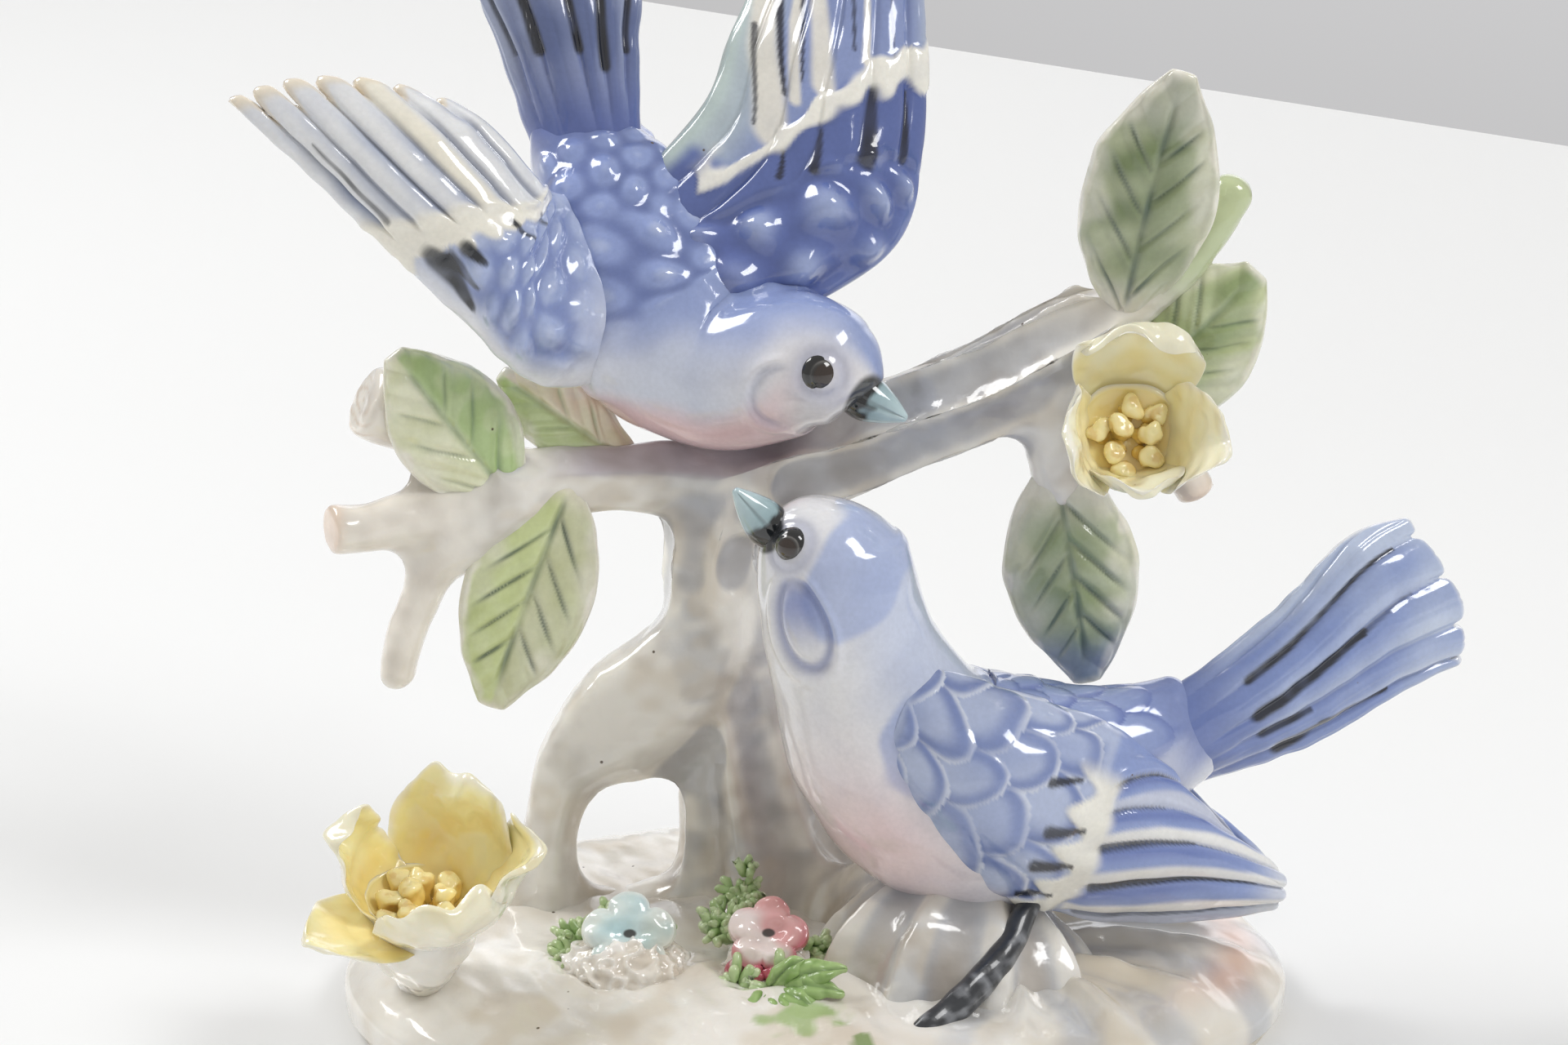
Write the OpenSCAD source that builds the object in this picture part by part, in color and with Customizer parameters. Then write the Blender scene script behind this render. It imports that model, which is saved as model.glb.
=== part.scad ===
// Porcelain figurine: two small songbirds on a flowering tree.
// A low oval mound on a flat foot carries a forked, looping trunk with six leaves.
// One bird dives over the fork, the other sits on a rock in front.
// Two open yellow flowers and two small blossoms in moss dress the tree and the mound.
// Millimetres, +Z up, -Y towards the viewer, origin in the middle of the flat underside.

/* [Base] */
// Oval mound, length across the front
base_length = 116; // [96:1:140]
// Oval mound, depth front to back
base_depth = 84; // [72:1:101]
// Height of the mound's crown above the table
mound_height = 11; // [9:0.5:13.5]
// Porcelain wall of the hollow mound
mound_wall = 2.6; // [2.2:0.1:3.2]
// Thickness of the flat foot plate that closes the mound
foot_thickness = 2.5; // [2:0.1:3]
// Diameter of the firing vent in the foot plate
vent_diameter = 6; // [4:0.5:8]

/* [Tree] */
// Height of the right branch's end above the table
tree_height = 86; // [71:1:104]
// Reach of the tree from the left stub's end to the right branch's end
tree_reach = 94; // [78:1:113]
// Half width of the trunk where it leaves the mound
trunk_radius = 12.5; // [10.5:0.5:15]
// Half thickness of the limb that loops down to the left
loop_radius = 5.6; // [4.8:0.1:6.7]
// Half thickness of the two main branches at the fork
branch_radius = 5.8; // [4.9:0.1:6.9]
// Half thickness of the short cut stubs and the twig
stub_radius = 2.9; // [2.4:0.1:3.4]

/* [Leaves] */
// Leaf standing up at the end of the right branch
upright_leaf_length = 28; // [23:0.5:33]
// Leaf behind the upper flower
outer_leaf_length = 22; // [18:0.5:26]
// Leaf hanging under the right branch
right_hanging_leaf_length = 28; // [23:0.5:33]
// Leaf at the top of the left branch
upper_left_leaf_length = 24; // [20:0.5:28]
// Leaf lying on the left branch behind the diving bird
inner_leaf_length = 19; // [16:0.5:22]
// Leaf hanging under the left branch
left_hanging_leaf_length = 27; // [22:0.5:32]
// Width of the large leaves
leaf_width = 15; // [12.5:0.5:18]
// Thickness of a leaf at its middle
leaf_thickness = 2.4; // [1.8:0.1:3]

/* [Birds] */
// Diving bird, beak tip to tail end
diving_bird_length = 82; // [69:1:98]
// Perched bird, beak tip to tail end
perched_bird_length = 94; // [78:1:112]
// Thickness of a wing at its middle
wing_thickness = 3.4; // [2.8:0.1:4.2]
// Thickness of a tail at its middle
tail_thickness = 3.2; // [2.6:0.1:4]
// Radius of the painted eye beads
eye_radius = 2.1; // [1.7:0.1:2.5]

/* [Flowers] */
// Upper flower, width across its open petals
upper_flower_width = 21; // [17.5:0.5:25]
// Flower standing on the mound, width across its open petals
lower_flower_width = 24; // [20:0.5:29]
// Thickness of a petal at its middle
petal_thickness = 1.5; // [1.2:0.1:1.9]
// Small blossoms on the mound, width across the five lobes
blossom_width = 11.5; // [9.5:0.5:13.5]

/* [Hidden] */
// Layout sizes: the reach, height, lengths and widths that the points below are drawn at
drawn_reach = 94;
drawn_height = 86;
drawn_depth = 84;
drawn_length = 116;
drawn_mound = 11;
drawn_diving = 82;
drawn_perched = 94;
// Points of contact from which the birds keep their place
diving_seat = [-10, 15, 68];
perched_seat = [20, -6, 19];
// Where the crown of the tree is joined to the trunk
fork = [-9, 16, 62.5];
// Foot of each piece that stands on the mound
rock_foot = [18, -10, 6];
lower_flower_foot = [-47, -13, 7.5];
blue_blossom_foot = [-22, -12, 9];
pink_blossom_foot = [-5, -12, 9.3];
// Stations round and along the swept pieces
limb_sides = 18;
leaf_sides = 12;
wing_sides = 32;

porcelain = "#f1eee8";
bark_grey = "#d5d4d4";
leaf_green = "#a9bb8c";
leaf_yellow_green = "#c2cf98";
bird_blue = "#8ea3d6";
wing_blue = "#b6c3e4";
deep_blue = "#6377b8";
beak_teal = "#8fb3bd";
eye_black = "#15171b";
twig_black = "#34373d";
petal_yellow = "#ece2a4";
stamen_ochre = "#d3b04e";
blossom_blue = "#c9e0e0";
blossom_pink = "#e9bcbc";
moss_green = "#8aab66";
bud_red = "#b8425c";

// ---- placing ----

// A drawn point of the tree, moved with the tree's reach, the base's depth and the tree's height
function tree(p) = [
    p[0] * tree_reach / drawn_reach,
    p[1] * base_depth / drawn_depth,
    p[2] * tree_height / drawn_height
];

// A drawn point on the mound
function ground(p) = [
    p[0] * base_length / drawn_length,
    p[1] * base_depth / drawn_depth,
    p[2] * mound_height / drawn_mound
];

// Drawn points of the diving and of the perched bird, grown from where the bird is stuck on
function diving(p) = tree(diving_seat)
    + (p - diving_seat) * diving_bird_length / drawn_diving;
function perched(p) = ground(perched_seat)
    + (p - perched_seat) * perched_bird_length / drawn_perched;

// ---- curves ----

function unit(v) = v / norm(v);
function each_of(points, kind) = [
    for (p = points) kind == "tree" ? tree(p)
        : kind == "diving" ? diving(p)
        : kind == "perched" ? perched(p)
        : ground(p)
];

// Smooth curve through the listed values, t running from 0 to 1
function smooth(list, t) = let (
    last = len(list) - 1,
    s = min(max(t * last, 0), last - 0.0001),
    i = floor(s),
    f = s - i,
    a = list[max(i - 1, 0)],
    b = list[i],
    c = list[i + 1],
    d = list[min(i + 2, last)]
) 0.5 * (2 * b + (c - a) * f + (2 * a - 5 * b + 4 * c - d) * f * f
    + (3 * b - a - 3 * c + d) * f * f * f);

function heading(path, t) = unit(smooth(path, min(t + 0.01, 1)) - smooth(path, max(t - 0.01, 0)));

// Surface through a net of points, u across and v along
function net_point(net, u, v) = smooth([for (row = net) smooth(row, u)], v);

// ---- solids ----

// Closed skin over a stack of rings, each ring with the same number of points
module skin(rings) {
    n = len(rings[0]);
    m = len(rings);
    first = [for (k = [0 : 2]) [for (p = rings[0]) p[k]] * [for (p = rings[0]) 1 / n]];
    last = [for (k = [0 : 2]) [for (p = rings[m - 1]) p[k]] * [for (p = rings[m - 1]) 1 / n]];
    polyhedron(
        points = concat([for (r = rings) each r], [first, last]),
        faces = concat(
            [for (i = [0 : m - 2], j = [0 : n - 1])
                [i * n + j, i * n + (j + 1) % n, (i + 1) * n + j]],
            [for (i = [0 : m - 2], j = [0 : n - 1])
                [i * n + (j + 1) % n, (i + 1) * n + (j + 1) % n, (i + 1) * n + j]],
            [for (j = [0 : n - 1]) [m * n, (j + 1) % n, j]],
            [for (j = [0 : n - 1]) [m * n + 1, (m - 1) * n + j, (m - 1) * n + (j + 1) % n]]
        )
    );
}

// Oval section swept along a path; widths lie across the facing direction, depths along it.
// Ridges run lengthwise, and cup bends the section away from the facing side.
module sweep(path, widths, depths, facing = [0, -1, 0], steps = 14, sides = limb_sides,
        ridges = 0, ridge = 0, twist = 0, cup = 0) {
    skin([for (i = [0 : steps])
        let (
            t = i / steps,
            middle = smooth(path, t),
            along = heading(path, t),
            across = unit(cross(along, facing)),
            out = cross(across, along),
            w = smooth(widths, t),
            d = smooth(depths, t)
        ) [for (j = [0 : sides - 1])
            let (
                a = 360 * j / sides,
                r = 1 + ridge * cos(ridges * a + twist * t)
            ) middle + across * w * r * cos(a)
                + out * (d * r * sin(a) - cup * w * pow(cos(a), 2))]
    ]);
}

// Thin shaped slab over a net of points, with feather ridges running along it
module slab(net, thickness, taper = [0.7, 1, 0.7, 0.45], feathers = 6, steps = 12,
        sides = wing_sides) {
    skin([for (i = [0 : steps])
        let (v = i / steps, t = thickness * smooth(taper, v) / 2)
        [for (j = [0 : sides - 1])
            let (
                a = 360 * j / sides,
                u = (1 - cos(a)) / 2,
                lobe = abs(cos(180 * feathers * u)),
                reach = v * (1 - 0.05 * lobe * v),
                step_u = net_point(net, min(u + 0.02, 1), reach)
                    - net_point(net, max(u - 0.02, 0), reach),
                step_v = net_point(net, u, min(reach + 0.02, 1))
                    - net_point(net, u, max(reach - 0.02, 0)),
                rise = t * (1.15 - 0.3 * v * lobe)
            ) net_point(net, u, reach) + unit(cross(step_v, step_u)) * rise * sin(a)]
    ]);
}

// Leaf from its foot towards a tip, with a pointed end and a slight hollow
module leaf(foot, tip, length, width, bend = 2, facing = [0, -1, 0]) {
    way = unit(tip - foot);
    side = unit(cross(way, cross(facing, way)));
    path = [foot, foot + way * length / 3 + facing * bend, foot + way * length * 2 / 3
        + facing * bend, foot + way * length];
    sweep(path, [1.2, width / 2, width / 2 * 0.92, 0.4],
        [leaf_thickness / 2, leaf_thickness / 2, leaf_thickness / 2, 0.35],
        facing = facing, steps = 10, sides = leaf_sides, cup = 0.12);
}

// Petal curling out of a flower's cup: [distance from axis, height] pairs, turned by an angle
module petal(middle, axis, turn, profile, widths, cup = 0.3) {
    level = unit(cross(axis, [0, 0, 1]));
    upward = cross(level, axis);
    out = level * cos(turn) + upward * sin(turn);
    path = [for (p = profile) middle + out * p[0] + axis * p[1]];
    sweep(path, widths, [for (w = widths) petal_thickness / 2], facing = -out + axis * 0.3,
        steps = 7, sides = 12, cup = -cup);
}

// Bowl of a flower: a small goblet from its stalk to the mouth
module flower_cup(foot, axis, height, mouth) {
    sweep([foot, foot + axis * height / 3, foot + axis * height * 2 / 3, foot + axis * height],
        [mouth * 0.34, mouth * 0.42, mouth * 0.75, mouth],
        [mouth * 0.34, mouth * 0.42, mouth * 0.75, mouth],
        facing = [1, 0, 0.2], steps = 5, sides = 16);
}

// Lumpy stamens standing in a ring round a middle one
module stamens(middle, axis, spread, height) {
    level = unit(cross(axis, [0, 0, 1]));
    upward = cross(level, axis);
    for (k = [0 : 5]) {
        out = k == 0 ? [0, 0, 0] : level * cos(72 * k) + upward * sin(72 * k);
        tall = k == 0 ? height : height * (0.72 + 0.06 * (k % 3));
        lean = middle + out * spread;
        sweep([lean, lean + axis * tall / 2 + out * 0.3, lean + axis * tall + out * 0.6],
            [1, 0.8, 1], [1, 0.8, 1], facing = [1, 0.1, 0.3], steps = 3, sides = 6);
    }
}

// Five-lobed blossom, thick enough to stand proud of the moss
module blossom(middle, axis, width, turn) {
    level = unit(cross(axis, [0, 0, 1]));
    upward = cross(level, axis);
    skin([for (h = [[0, 0.4], [0.5, 0.8], [1.3, 1], [2, 0.85], [2.2, 0.3]])
        [for (j = [0 : 29])
            let (a = -12 * j, r = width / 2 * h[1] * (0.8 + 0.2 * cos(5 * (a - turn))))
            middle + axis * h[0] + (level * cos(a) + upward * sin(a)) * r]
    ]);
}

// Little clump of thick threads, curling out of one root in a fan
module threads(root, count, length, spread, thickness, axis) {
    level = unit(cross(axis, [0, 0, 1]));
    upward = cross(level, axis);
    for (k = [0 : count - 1]) {
        out = level * cos(360 * k / count + 20) + upward * sin(360 * k / count + 20);
        start = root + out * spread * 0.3;
        sweep([start, start + axis * length * 0.6 + out * spread * 0.4,
            start + axis * length * (0.8 + 0.1 * (k % 3)) + out * spread],
            [thickness, thickness, thickness * 0.6], [thickness, thickness, thickness * 0.6],
            facing = [0.9, 0.2, 0.4], steps = 3, sides = 5);
    }
}

// ---- base ----

// Mound outline at share rho of its half size, bulging a little to the front right
function oval(rho, a, z) = let (r = 1 + 0.02 * cos(3 * a + 40))
    [base_length / 2 * rho * r * cos(a), base_depth / 2 * rho * r * sin(a), z];

// Height of the mound's skin over the foot plate, with the swirled grooves on its right side
function crown(rho, a, share) = let (right = pow(max(0, cos(a + 15)), 2))
    foot_thickness - 0.3 + (mound_height - foot_thickness) * share
        * (1 + 0.10 * right * rho * cos(13 * a + 140 * rho));

module base_plate() {
    color(porcelain) difference() {
        linear_extrude(height = foot_thickness)
            polygon([for (a = [0 : 5 : 355]) let (p = oval(0.975, a, 0)) [p[0], p[1]]]);
        translate([base_length / 5, base_depth / 8, -1])
            cylinder(h = foot_thickness + 2, d = vent_diameter, $fn = 48);
    }
}

module base_mound() {
    sides = 48;
    profile = [[1, 0], [1, 0.26], [0.985, 0.42], [0.95, 0.58], [0.86, 0.77], [0.7, 0.9],
        [0.42, 0.97], [0.1, 1]];
    shrink = 1 - 2 * mound_wall / base_depth;
    inner = [[0.1, 1], [0.4, 0.95], [0.7, 0.8], [0.9, 0.5], [0.965, 0.3], [0.965, 0]];
    roof = (mound_height - mound_wall - foot_thickness) / (mound_height - foot_thickness);
    color(porcelain) skin(concat(
        [for (p = inner) [for (j = [0 : sides - 1])
            oval(p[0] * shrink, 360 * j / sides,
                foot_thickness - 0.3 + (mound_height - foot_thickness) * p[1] * roof)]],
        [for (p = profile) [for (j = [0 : sides - 1])
            oval(p[0], 360 * j / sides, crown(p[0], 360 * j / sides, p[1]))]]
    ));
}

// ---- tree ----

module tree_trunk() {
    path = concat([ground([-5, 13.5, 6.5])], each_of([[-6, 14, 11.5], [-6.9, 15, 17], [-8.7, 16, 25.5],
        [-10.4, 16, 35.4], [-11.8, 16, 46], [-11.9, 16, 54], [-9.1, 16, 63.5]], "tree"));
    color(bark_grey) sweep(path,
        trunk_radius * [1.04, 0.82, 0.69, 0.58, 0.48, 0.43, 0.43, 0.46],
        trunk_radius * [0.98, 0.8, 0.68, 0.58, 0.48, 0.43, 0.43, 0.46], steps = 21, sides = 24,
        ridges = 7, ridge = 0.05, twist = 120);
}

module looping_limb() {
    path = concat([ground([-34, 9, 7])], each_of([[-32.3, 9.5, 19], [-29.6, 10, 27], [-23.2, 12, 32],
        [-16, 13.5, 37], [-12, 15, 44], [-10.8, 16, 52]], "tree"));
    color(bark_grey) sweep(path, loop_radius * [1.1, 0.6, 0.88, 1.45, 1.42, 1.08, 0.9],
        loop_radius * [1, 0.64, 0.76, 0.96, 1, 0.98, 0.9], steps = 20, ridges = 5,
        ridge = 0.04);
}

module left_branch() {
    path = each_of([[-7, 16, 62], [-15, 15.5, 62.8], [-23, 14, 63.3], [-34, 12, 63],
        [-44, 10, 60.5]], "tree");
    color(bark_grey) sweep(path, branch_radius * [1, 0.8, 0.68, 0.68, 0.6],
        branch_radius * [1, 0.8, 0.68, 0.68, 0.6], steps = 14, ridges = 5, ridge = 0.05);
}

module right_branch() {
    path = each_of([fork, [4, 16, 66.5], [13, 14, 71], [22, 12, 75.5], [31, 10, 81.7],
        [38, 10, 86]], "tree");
    color(bark_grey) sweep(path, branch_radius * [1.15, 1.02, 0.97, 0.95, 0.86, 0.6],
        branch_radius * [1, 1, 0.97, 0.9, 0.8, 0.6], steps = 18, ridges = 6, ridge = 0.06,
        twist = 200);
}

module right_fork() {
    path = each_of([[31, 10.5, 81.6], [30.5, 11, 74.2], [30, 11, 67], [31, 11, 61]], "tree");
    color(porcelain) sweep(path, branch_radius * [0.85, 0.7, 0.55, 0.3],
        branch_radius * [0.7, 0.6, 0.5, 0.3], steps = 9);
}

// Short limb with a cut end, its last ring drawn in to a soft edge
module stub(points, thick_start, thick_end, shade) {
    path = each_of(points, "tree");
    color(shade) sweep(path, stub_radius * [thick_start, thick_end, thick_end, 0.8 * thick_end],
        stub_radius * [thick_start, thick_end, thick_end, 0.8 * thick_end], steps = 8,
        sides = 16);
}

module upper_left_stub() {
    stub([[-36.5, 15, 64.5], [-46, 13, 70], [-54, 10, 74.5]], 1.1, 1.55, porcelain);
}

module middle_left_stub() {
    stub([[-42, 10.5, 61], [-51, 7, 59.8], [-58, 4, 60]], 1.15, 1.15, porcelain);
}

module lower_left_twig() {
    stub([[-43, 10, 60], [-47.5, 9, 50.5], [-50, 8, 43], [-50.8, 7, 38]], 1.15, 0.85, porcelain);
}

module bud_stub() {
    stub([[36, 10, 84], [43.5, 10, 90], [48.5, 11, 96.5], [52, 12, 102]], 1.1, 1, leaf_green);
}

module lower_right_stub() {
    stub([[32.5, 10, 80], [40, 10, 73.5], [45, 12, 66.7], [47.7, 12, 61.5]], 1.1, 0.9, porcelain);
}

// ---- leaves ----

module upright_leaf() {
    color(leaf_green) leaf(tree([37.5, 8.5, 86]), tree([43, 5, 117]), upright_leaf_length + 3,
        leaf_width, 1.2, [0, -0.97, 0.25]);
}

module outer_leaf() {
    color(leaf_green) leaf(tree([37, 11, 74]), tree([54.5, 10, 90]), outer_leaf_length + 2,
        leaf_width * 0.85, 1, [0, -1, 0.1]);
}

module right_hanging_leaf() {
    color(leaf_green) leaf(tree([30, 11, 66]), tree([34.8, 9.5, 37.4]), right_hanging_leaf_length,
        leaf_width * 1.05, 1.5);
}

module upper_left_leaf() {
    color(leaf_green) leaf(tree([-36, 11, 62]), tree([-50.5, 7, 82]), upper_left_leaf_length,
        leaf_width * 0.9, 1.5, [0.1, -1, 0.2]);
}

module inner_leaf() {
    color(leaf_yellow_green) leaf(tree([-24, 16, 65]), tree([-40, 14, 78.5]), inner_leaf_length,
        leaf_width * 0.6, 0.8, [0, -1, 0.3]);
}

module left_hanging_leaf() {
    color(leaf_yellow_green) leaf(tree([-29.5, 10.5, 62]), tree([-40, 5, 36.8]),
        left_hanging_leaf_length, leaf_width, 1.5);
}

// ---- diving bird ----

module diving_bird_body() {
    path = each_of([[-29, 29, 107.8], [-27.4, 27, 102.8], [-25, 24, 97], [-21.6, 20.5, 89],
        [-17.3, 17.5, 81.4], [-10.4, 13.5, 77.3], [-0.6, 8.5, 79.6], [4.8, 6.2, 78.6],
        [8, 5.4, 76.8]], "diving");
    k = diving_bird_length / drawn_diving;
    color(bird_blue) sweep(path, k * [5.8, 7.3, 8.9, 11, 12.2, 10, 8.6, 6.2, 1.6],
        k * [3.4, 5, 7.4, 9.6, 10.4, 9.6, 8.2, 6, 1.6], facing = [0.2, -0.9, 0.4],
        steps = 24, sides = 24);
}

module diving_bird_tail() {
    net = [
        each_of([[-33, 28, 99.9], [-29, 26, 99.9], [-24.5, 26, 99.9], [-20.5, 27, 100.9]], "diving"),
        each_of([[-38, 31, 114.4], [-32.3, 29, 115.3], [-26.6, 29, 115.3], [-21, 30, 114.6]],
            "diving"),
        each_of([[-42.5, 34, 124.9], [-35, 33, 126.5], [-27.3, 33, 126.5], [-20, 34, 124.9]],
            "diving"),
        each_of([[-45.5, 36, 131.9], [-37, 36, 135.2], [-27.3, 36, 135.2], [-19.5, 36, 132.4]],
            "diving")
    ];
    color(deep_blue) slab(net, tail_thickness, [1.6, 1.2, 1, 0.6], feathers = 6, steps = 9,
        sides = 28);
}

module diving_bird_near_wing() {
    net = [
        each_of([[-18, 15.5, 77.5], [-20, 12.5, 84.5], [-22, 15.5, 90.5], [-25, 21.5, 96.5]], "diving"),
        each_of([[-31.5, 7.5, 77.2], [-33, 2.5, 86.1], [-32.4, 6.5, 92.7], [-31, 15.5, 99]],
            "diving"),
        each_of([[-41.5, 2.5, 87.1], [-38.2, 0.5, 93.1], [-35.4, 3.5, 97.7], [-33.3, 9.5, 102.5]],
            "diving"),
        each_of([[-54, 3.5, 99.5], [-49.5, 2.5, 103.5], [-43, 4.5, 106.7], [-37, 9.5, 107.5]], "diving"),
        each_of([[-68.4, 5.5, 112.5], [-61.5, 6.5, 114.5], [-51.7, 8.5, 113.9], [-41.5, 11.5, 110]],
            "diving")
    ];
    color(wing_blue) slab(net, wing_thickness, [1.3, 1.4, 1.1, 0.8, 0.5], feathers = 7);
}

module diving_bird_far_wing() {
    net = [
        each_of([[-9, 13, 80.8], [-13, 13, 85.8], [-18, 17, 90.8], [-22, 22, 97.8]], "diving"),
        each_of([[9.4, 19, 90.2], [2.9, 17, 97.3], [-5, 21, 101.8], [-12.9, 25, 107.8]], "diving"),
        each_of([[13.8, 24, 101.6], [6.8, 23, 108.8], [-1.5, 26, 113.3], [-9.9, 29, 114.8]],
            "diving"),
        each_of([[14.2, 31, 119.3], [8.4, 31, 122.3], [1.5, 32, 123.1], [-6.2, 34, 121.8]],
            "diving"),
        each_of([[12.7, 38, 134.6], [9.4, 38, 137.1], [5.5, 38, 136.6], [0, 38, 132.1]],
            "diving")
    ];
    color(deep_blue) slab(net, wing_thickness, [1.3, 1.3, 1.1, 0.8, 0.5], feathers = 7);
}

// Beak: a short cone from the face to a blunt tip
module beak(root, tip, radius) {
    sweep([root, (root + tip) / 2, tip], [radius, radius * 0.6, 0.3], [radius, radius * 0.6, 0.3],
        facing = [0.1, -1, 0.1], steps = 4, sides = 12);
}

module diving_bird_beak() {
    color(beak_teal) beak(diving([5, 5.9, 77]), diving([11.8, 3.6, 74]),
        3 * diving_bird_length / drawn_diving);
}

module diving_bird_eyes() {
    color(eye_black) for (p = [[1.5, 1.2, 80.4], [1.7, 14.2, 80]]) {
        translate(diving(p)) sphere(r = eye_radius * diving_bird_length / drawn_diving, $fn = 20);
    }
}

// ---- perched bird ----

module perched_bird_body() {
    path = each_of([[-3, -9, 65.6], [0.6, -9, 63], [2.3, -9, 58.5], [5.3, -8, 48.4],
        [10.3, -7, 37.1], [18.2, -6, 30.3], [29.7, -5, 30.5], [40, -3, 33.9],
        [47.7, 0, 37]], "perched");
    k = perched_bird_length / drawn_perched;
    color(bird_blue) sweep(path, k * [3, 7.7, 9, 10.3, 13.1, 14.6, 13.4, 8.9, 5.5],
        k * [3, 7.6, 8.9, 10, 12.6, 13.6, 12, 7.6, 3.6], steps = 24, sides = 24);
}

module perched_bird_tail() {
    net = [
        each_of([[42, 0, 39], [42, -2, 36], [42, -2, 32], [43, 0, 26]], "perched"),
        each_of([[56.8, 5, 49.2], [58, 3, 44.9], [59, 3, 39.1], [60.6, 5, 31.9]], "perched"),
        each_of([[65.8, 8, 57.7], [69, 7, 52.3], [71.4, 7, 45.1], [72, 8, 37.3]], "perched"),
        each_of([[73, 11, 59.2], [77, 11, 53.3], [80.3, 11, 46.9], [80.3, 11, 40.3]], "perched")
    ];
    color(wing_blue) slab(net, tail_thickness, [1.6, 1.3, 1.1, 0.7], feathers = 6, steps = 9,
        sides = 28);
}

// Points of the folded wing; side is 1 for the wing facing the viewer, -1 for the far one
function folded_wing(side) = let (
    rows = [
        [[13, -12, 48], [11, -16, 45], [9.5, -17, 40], [9.6, -14, 32]],
        [[26.5, -12, 44], [23.2, -19.5, 40], [20.4, -20.5, 32.4], [20, -15, 22]],
        [[38.5, -9, 38], [36, -15, 34], [33.4, -15.5, 25.2], [31.5, -11, 16.3]],
        [[47.2, -8, 28.4], [46.7, -11, 25.7], [45.6, -11, 20.5], [44.6, -8, 14.2]],
        [[56.7, -6, 18.9], [57.6, -6.5, 18], [57.6, -6.5, 16.8], [56.8, -6, 15]]
    ],
    spine = [-8, -7, -5.5, -3.5, -2],
    drop = side > 0 ? 0 : 2.5
) [for (i = [0 : 4]) each_of([for (p = rows[i])
    [p[0], side > 0 ? p[1] : 2 * spine[i] - p[1], p[2] - drop]], "perched")];

module perched_bird_near_wing() {
    color(wing_blue) slab(folded_wing(1), wing_thickness, [0.9, 1.2, 1.1, 0.8, 0.6], feathers = 7);
}

module perched_bird_far_wing() {
    color(wing_blue) slab(folded_wing(-1), wing_thickness, [0.9, 1.2, 1.1, 0.8, 0.6],
        feathers = 7);
}

module perched_bird_beak() {
    color(beak_teal) beak(perched([-3, -9.2, 62.6]), perched([-8.8, -12, 70.1]),
        3.4 * perched_bird_length / drawn_perched);
}

module perched_bird_eyes() {
    color(eye_black) for (p = [[-2.2, -14.6, 64], [-2.6, -3.2, 62.4]]) {
        translate(perched(p)) sphere(r = eye_radius * perched_bird_length / drawn_perched, $fn = 20);
    }
}

// ---- rock and painted twig ----

module rock() {
    foot = ground(rock_foot);
    seat = ground(perched_seat);
    color(bark_grey) sweep([foot, foot + [0, 0, 3], (foot + seat) / 2 + [0, 0, 2],
        seat + [0, 0, 3]], [17.5, 16.5, 13.5, 10.5], [14, 13, 10.5, 8], steps = 9, sides = 36,
        ridges = 9, ridge = 0.06, twist = 60);
}

module painted_twig() {
    color(twig_black) sweep(each_of([[27, -13, 20], [24, -19, 15.5], [18.5, -25.5, 11.5],
        [11.5, -30.5, 7.5]], "ground"), [1.3, 1.5, 1.7, 1.1], [1.3, 1.4, 1.5, 1], steps = 9,
        sides = 12);
}

// ---- upper flower ----

upper_axis = unit([0.1, -1, 0.12]);
upper_middle = tree([38.3, 5, 71.8]);
upper_k = upper_flower_width / 21;

module upper_flower_cup() {
    color(porcelain) flower_cup(upper_middle - upper_axis * 4, upper_axis, 6.5, 5.5 * upper_k);
}

module upper_petal(turn, profile, width) {
    color(petal_yellow) petal(upper_middle, upper_axis, turn, upper_k * profile,
        upper_k * width * [0.55, 0.95, 1, 0.55]);
}

module upper_flower_top_petal() {
    upper_petal(95, [[3.5, 0], [8, 2.5], [11.5, 6], [13.5, 8.5]], 7);
}

module upper_flower_left_petal() {
    upper_petal(10, [[3.5, 0], [7, 3], [9.5, 6.5], [10.5, 10]], 6.5);
}

module upper_flower_right_petal() {
    upper_petal(172, [[3.5, 0], [7, 3], [9, 7], [9.8, 10.5]], 6.5);
}

module upper_flower_bottom_petal() {
    upper_petal(268, [[3.5, 0], [6, 3], [7.5, 6], [8.2, 8.5]], 6);
}

module upper_flower_stamens() {
    color(stamen_ochre) stamens(upper_middle + upper_axis * 1.5, upper_axis, 3 * upper_k,
        5.5 * upper_k);
}

// ---- lower flower ----

lower_axis = unit([0.08, -0.35, 0.93]);
lower_foot = ground(lower_flower_foot);
lower_k = lower_flower_width / 24;
lower_middle = lower_foot + lower_axis * 11.5 * lower_k;

module lower_flower_cup() {
    color(porcelain) flower_cup(lower_foot, lower_axis, 14 * lower_k, 6 * lower_k);
}

module lower_petal(turn, profile, width) {
    color(petal_yellow) petal(lower_middle, lower_axis, turn, lower_k * profile,
        lower_k * width * [0.5, 0.95, 1, 0.5]);
}

module lower_flower_back_petal() {
    lower_petal(125, [[3, 0], [8, 3.5], [10.5, 9], [11, 14.5]], 7.2);
}

module lower_flower_right_petal() {
    lower_petal(205, [[3, 0], [8.5, 3.5], [11.5, 8.5], [13, 13]], 6.5);
}

module lower_flower_front_petal() {
    lower_petal(262, [[3, 0], [8, 2.5], [11, 7], [12, 12]], 7);
}

module lower_flower_left_petal() {
    lower_petal(338, [[3, 0], [8, 1], [13, 2.5], [18, 3.5]], 5.5);
}

module lower_flower_side_petal() {
    lower_petal(30, [[3, 0], [8.5, 3], [11, 8], [11.5, 12.5]], 5.5);
}

module lower_flower_stamens() {
    color(stamen_ochre) stamens(lower_middle + lower_axis * 1.5, lower_axis, 3 * lower_k,
        6 * lower_k);
}

// ---- small blossoms, moss and buds ----

blossom_axis = unit([0, -0.75, 0.66]);
blue_middle = ground(blue_blossom_foot);
pink_middle = ground(pink_blossom_foot);

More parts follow.
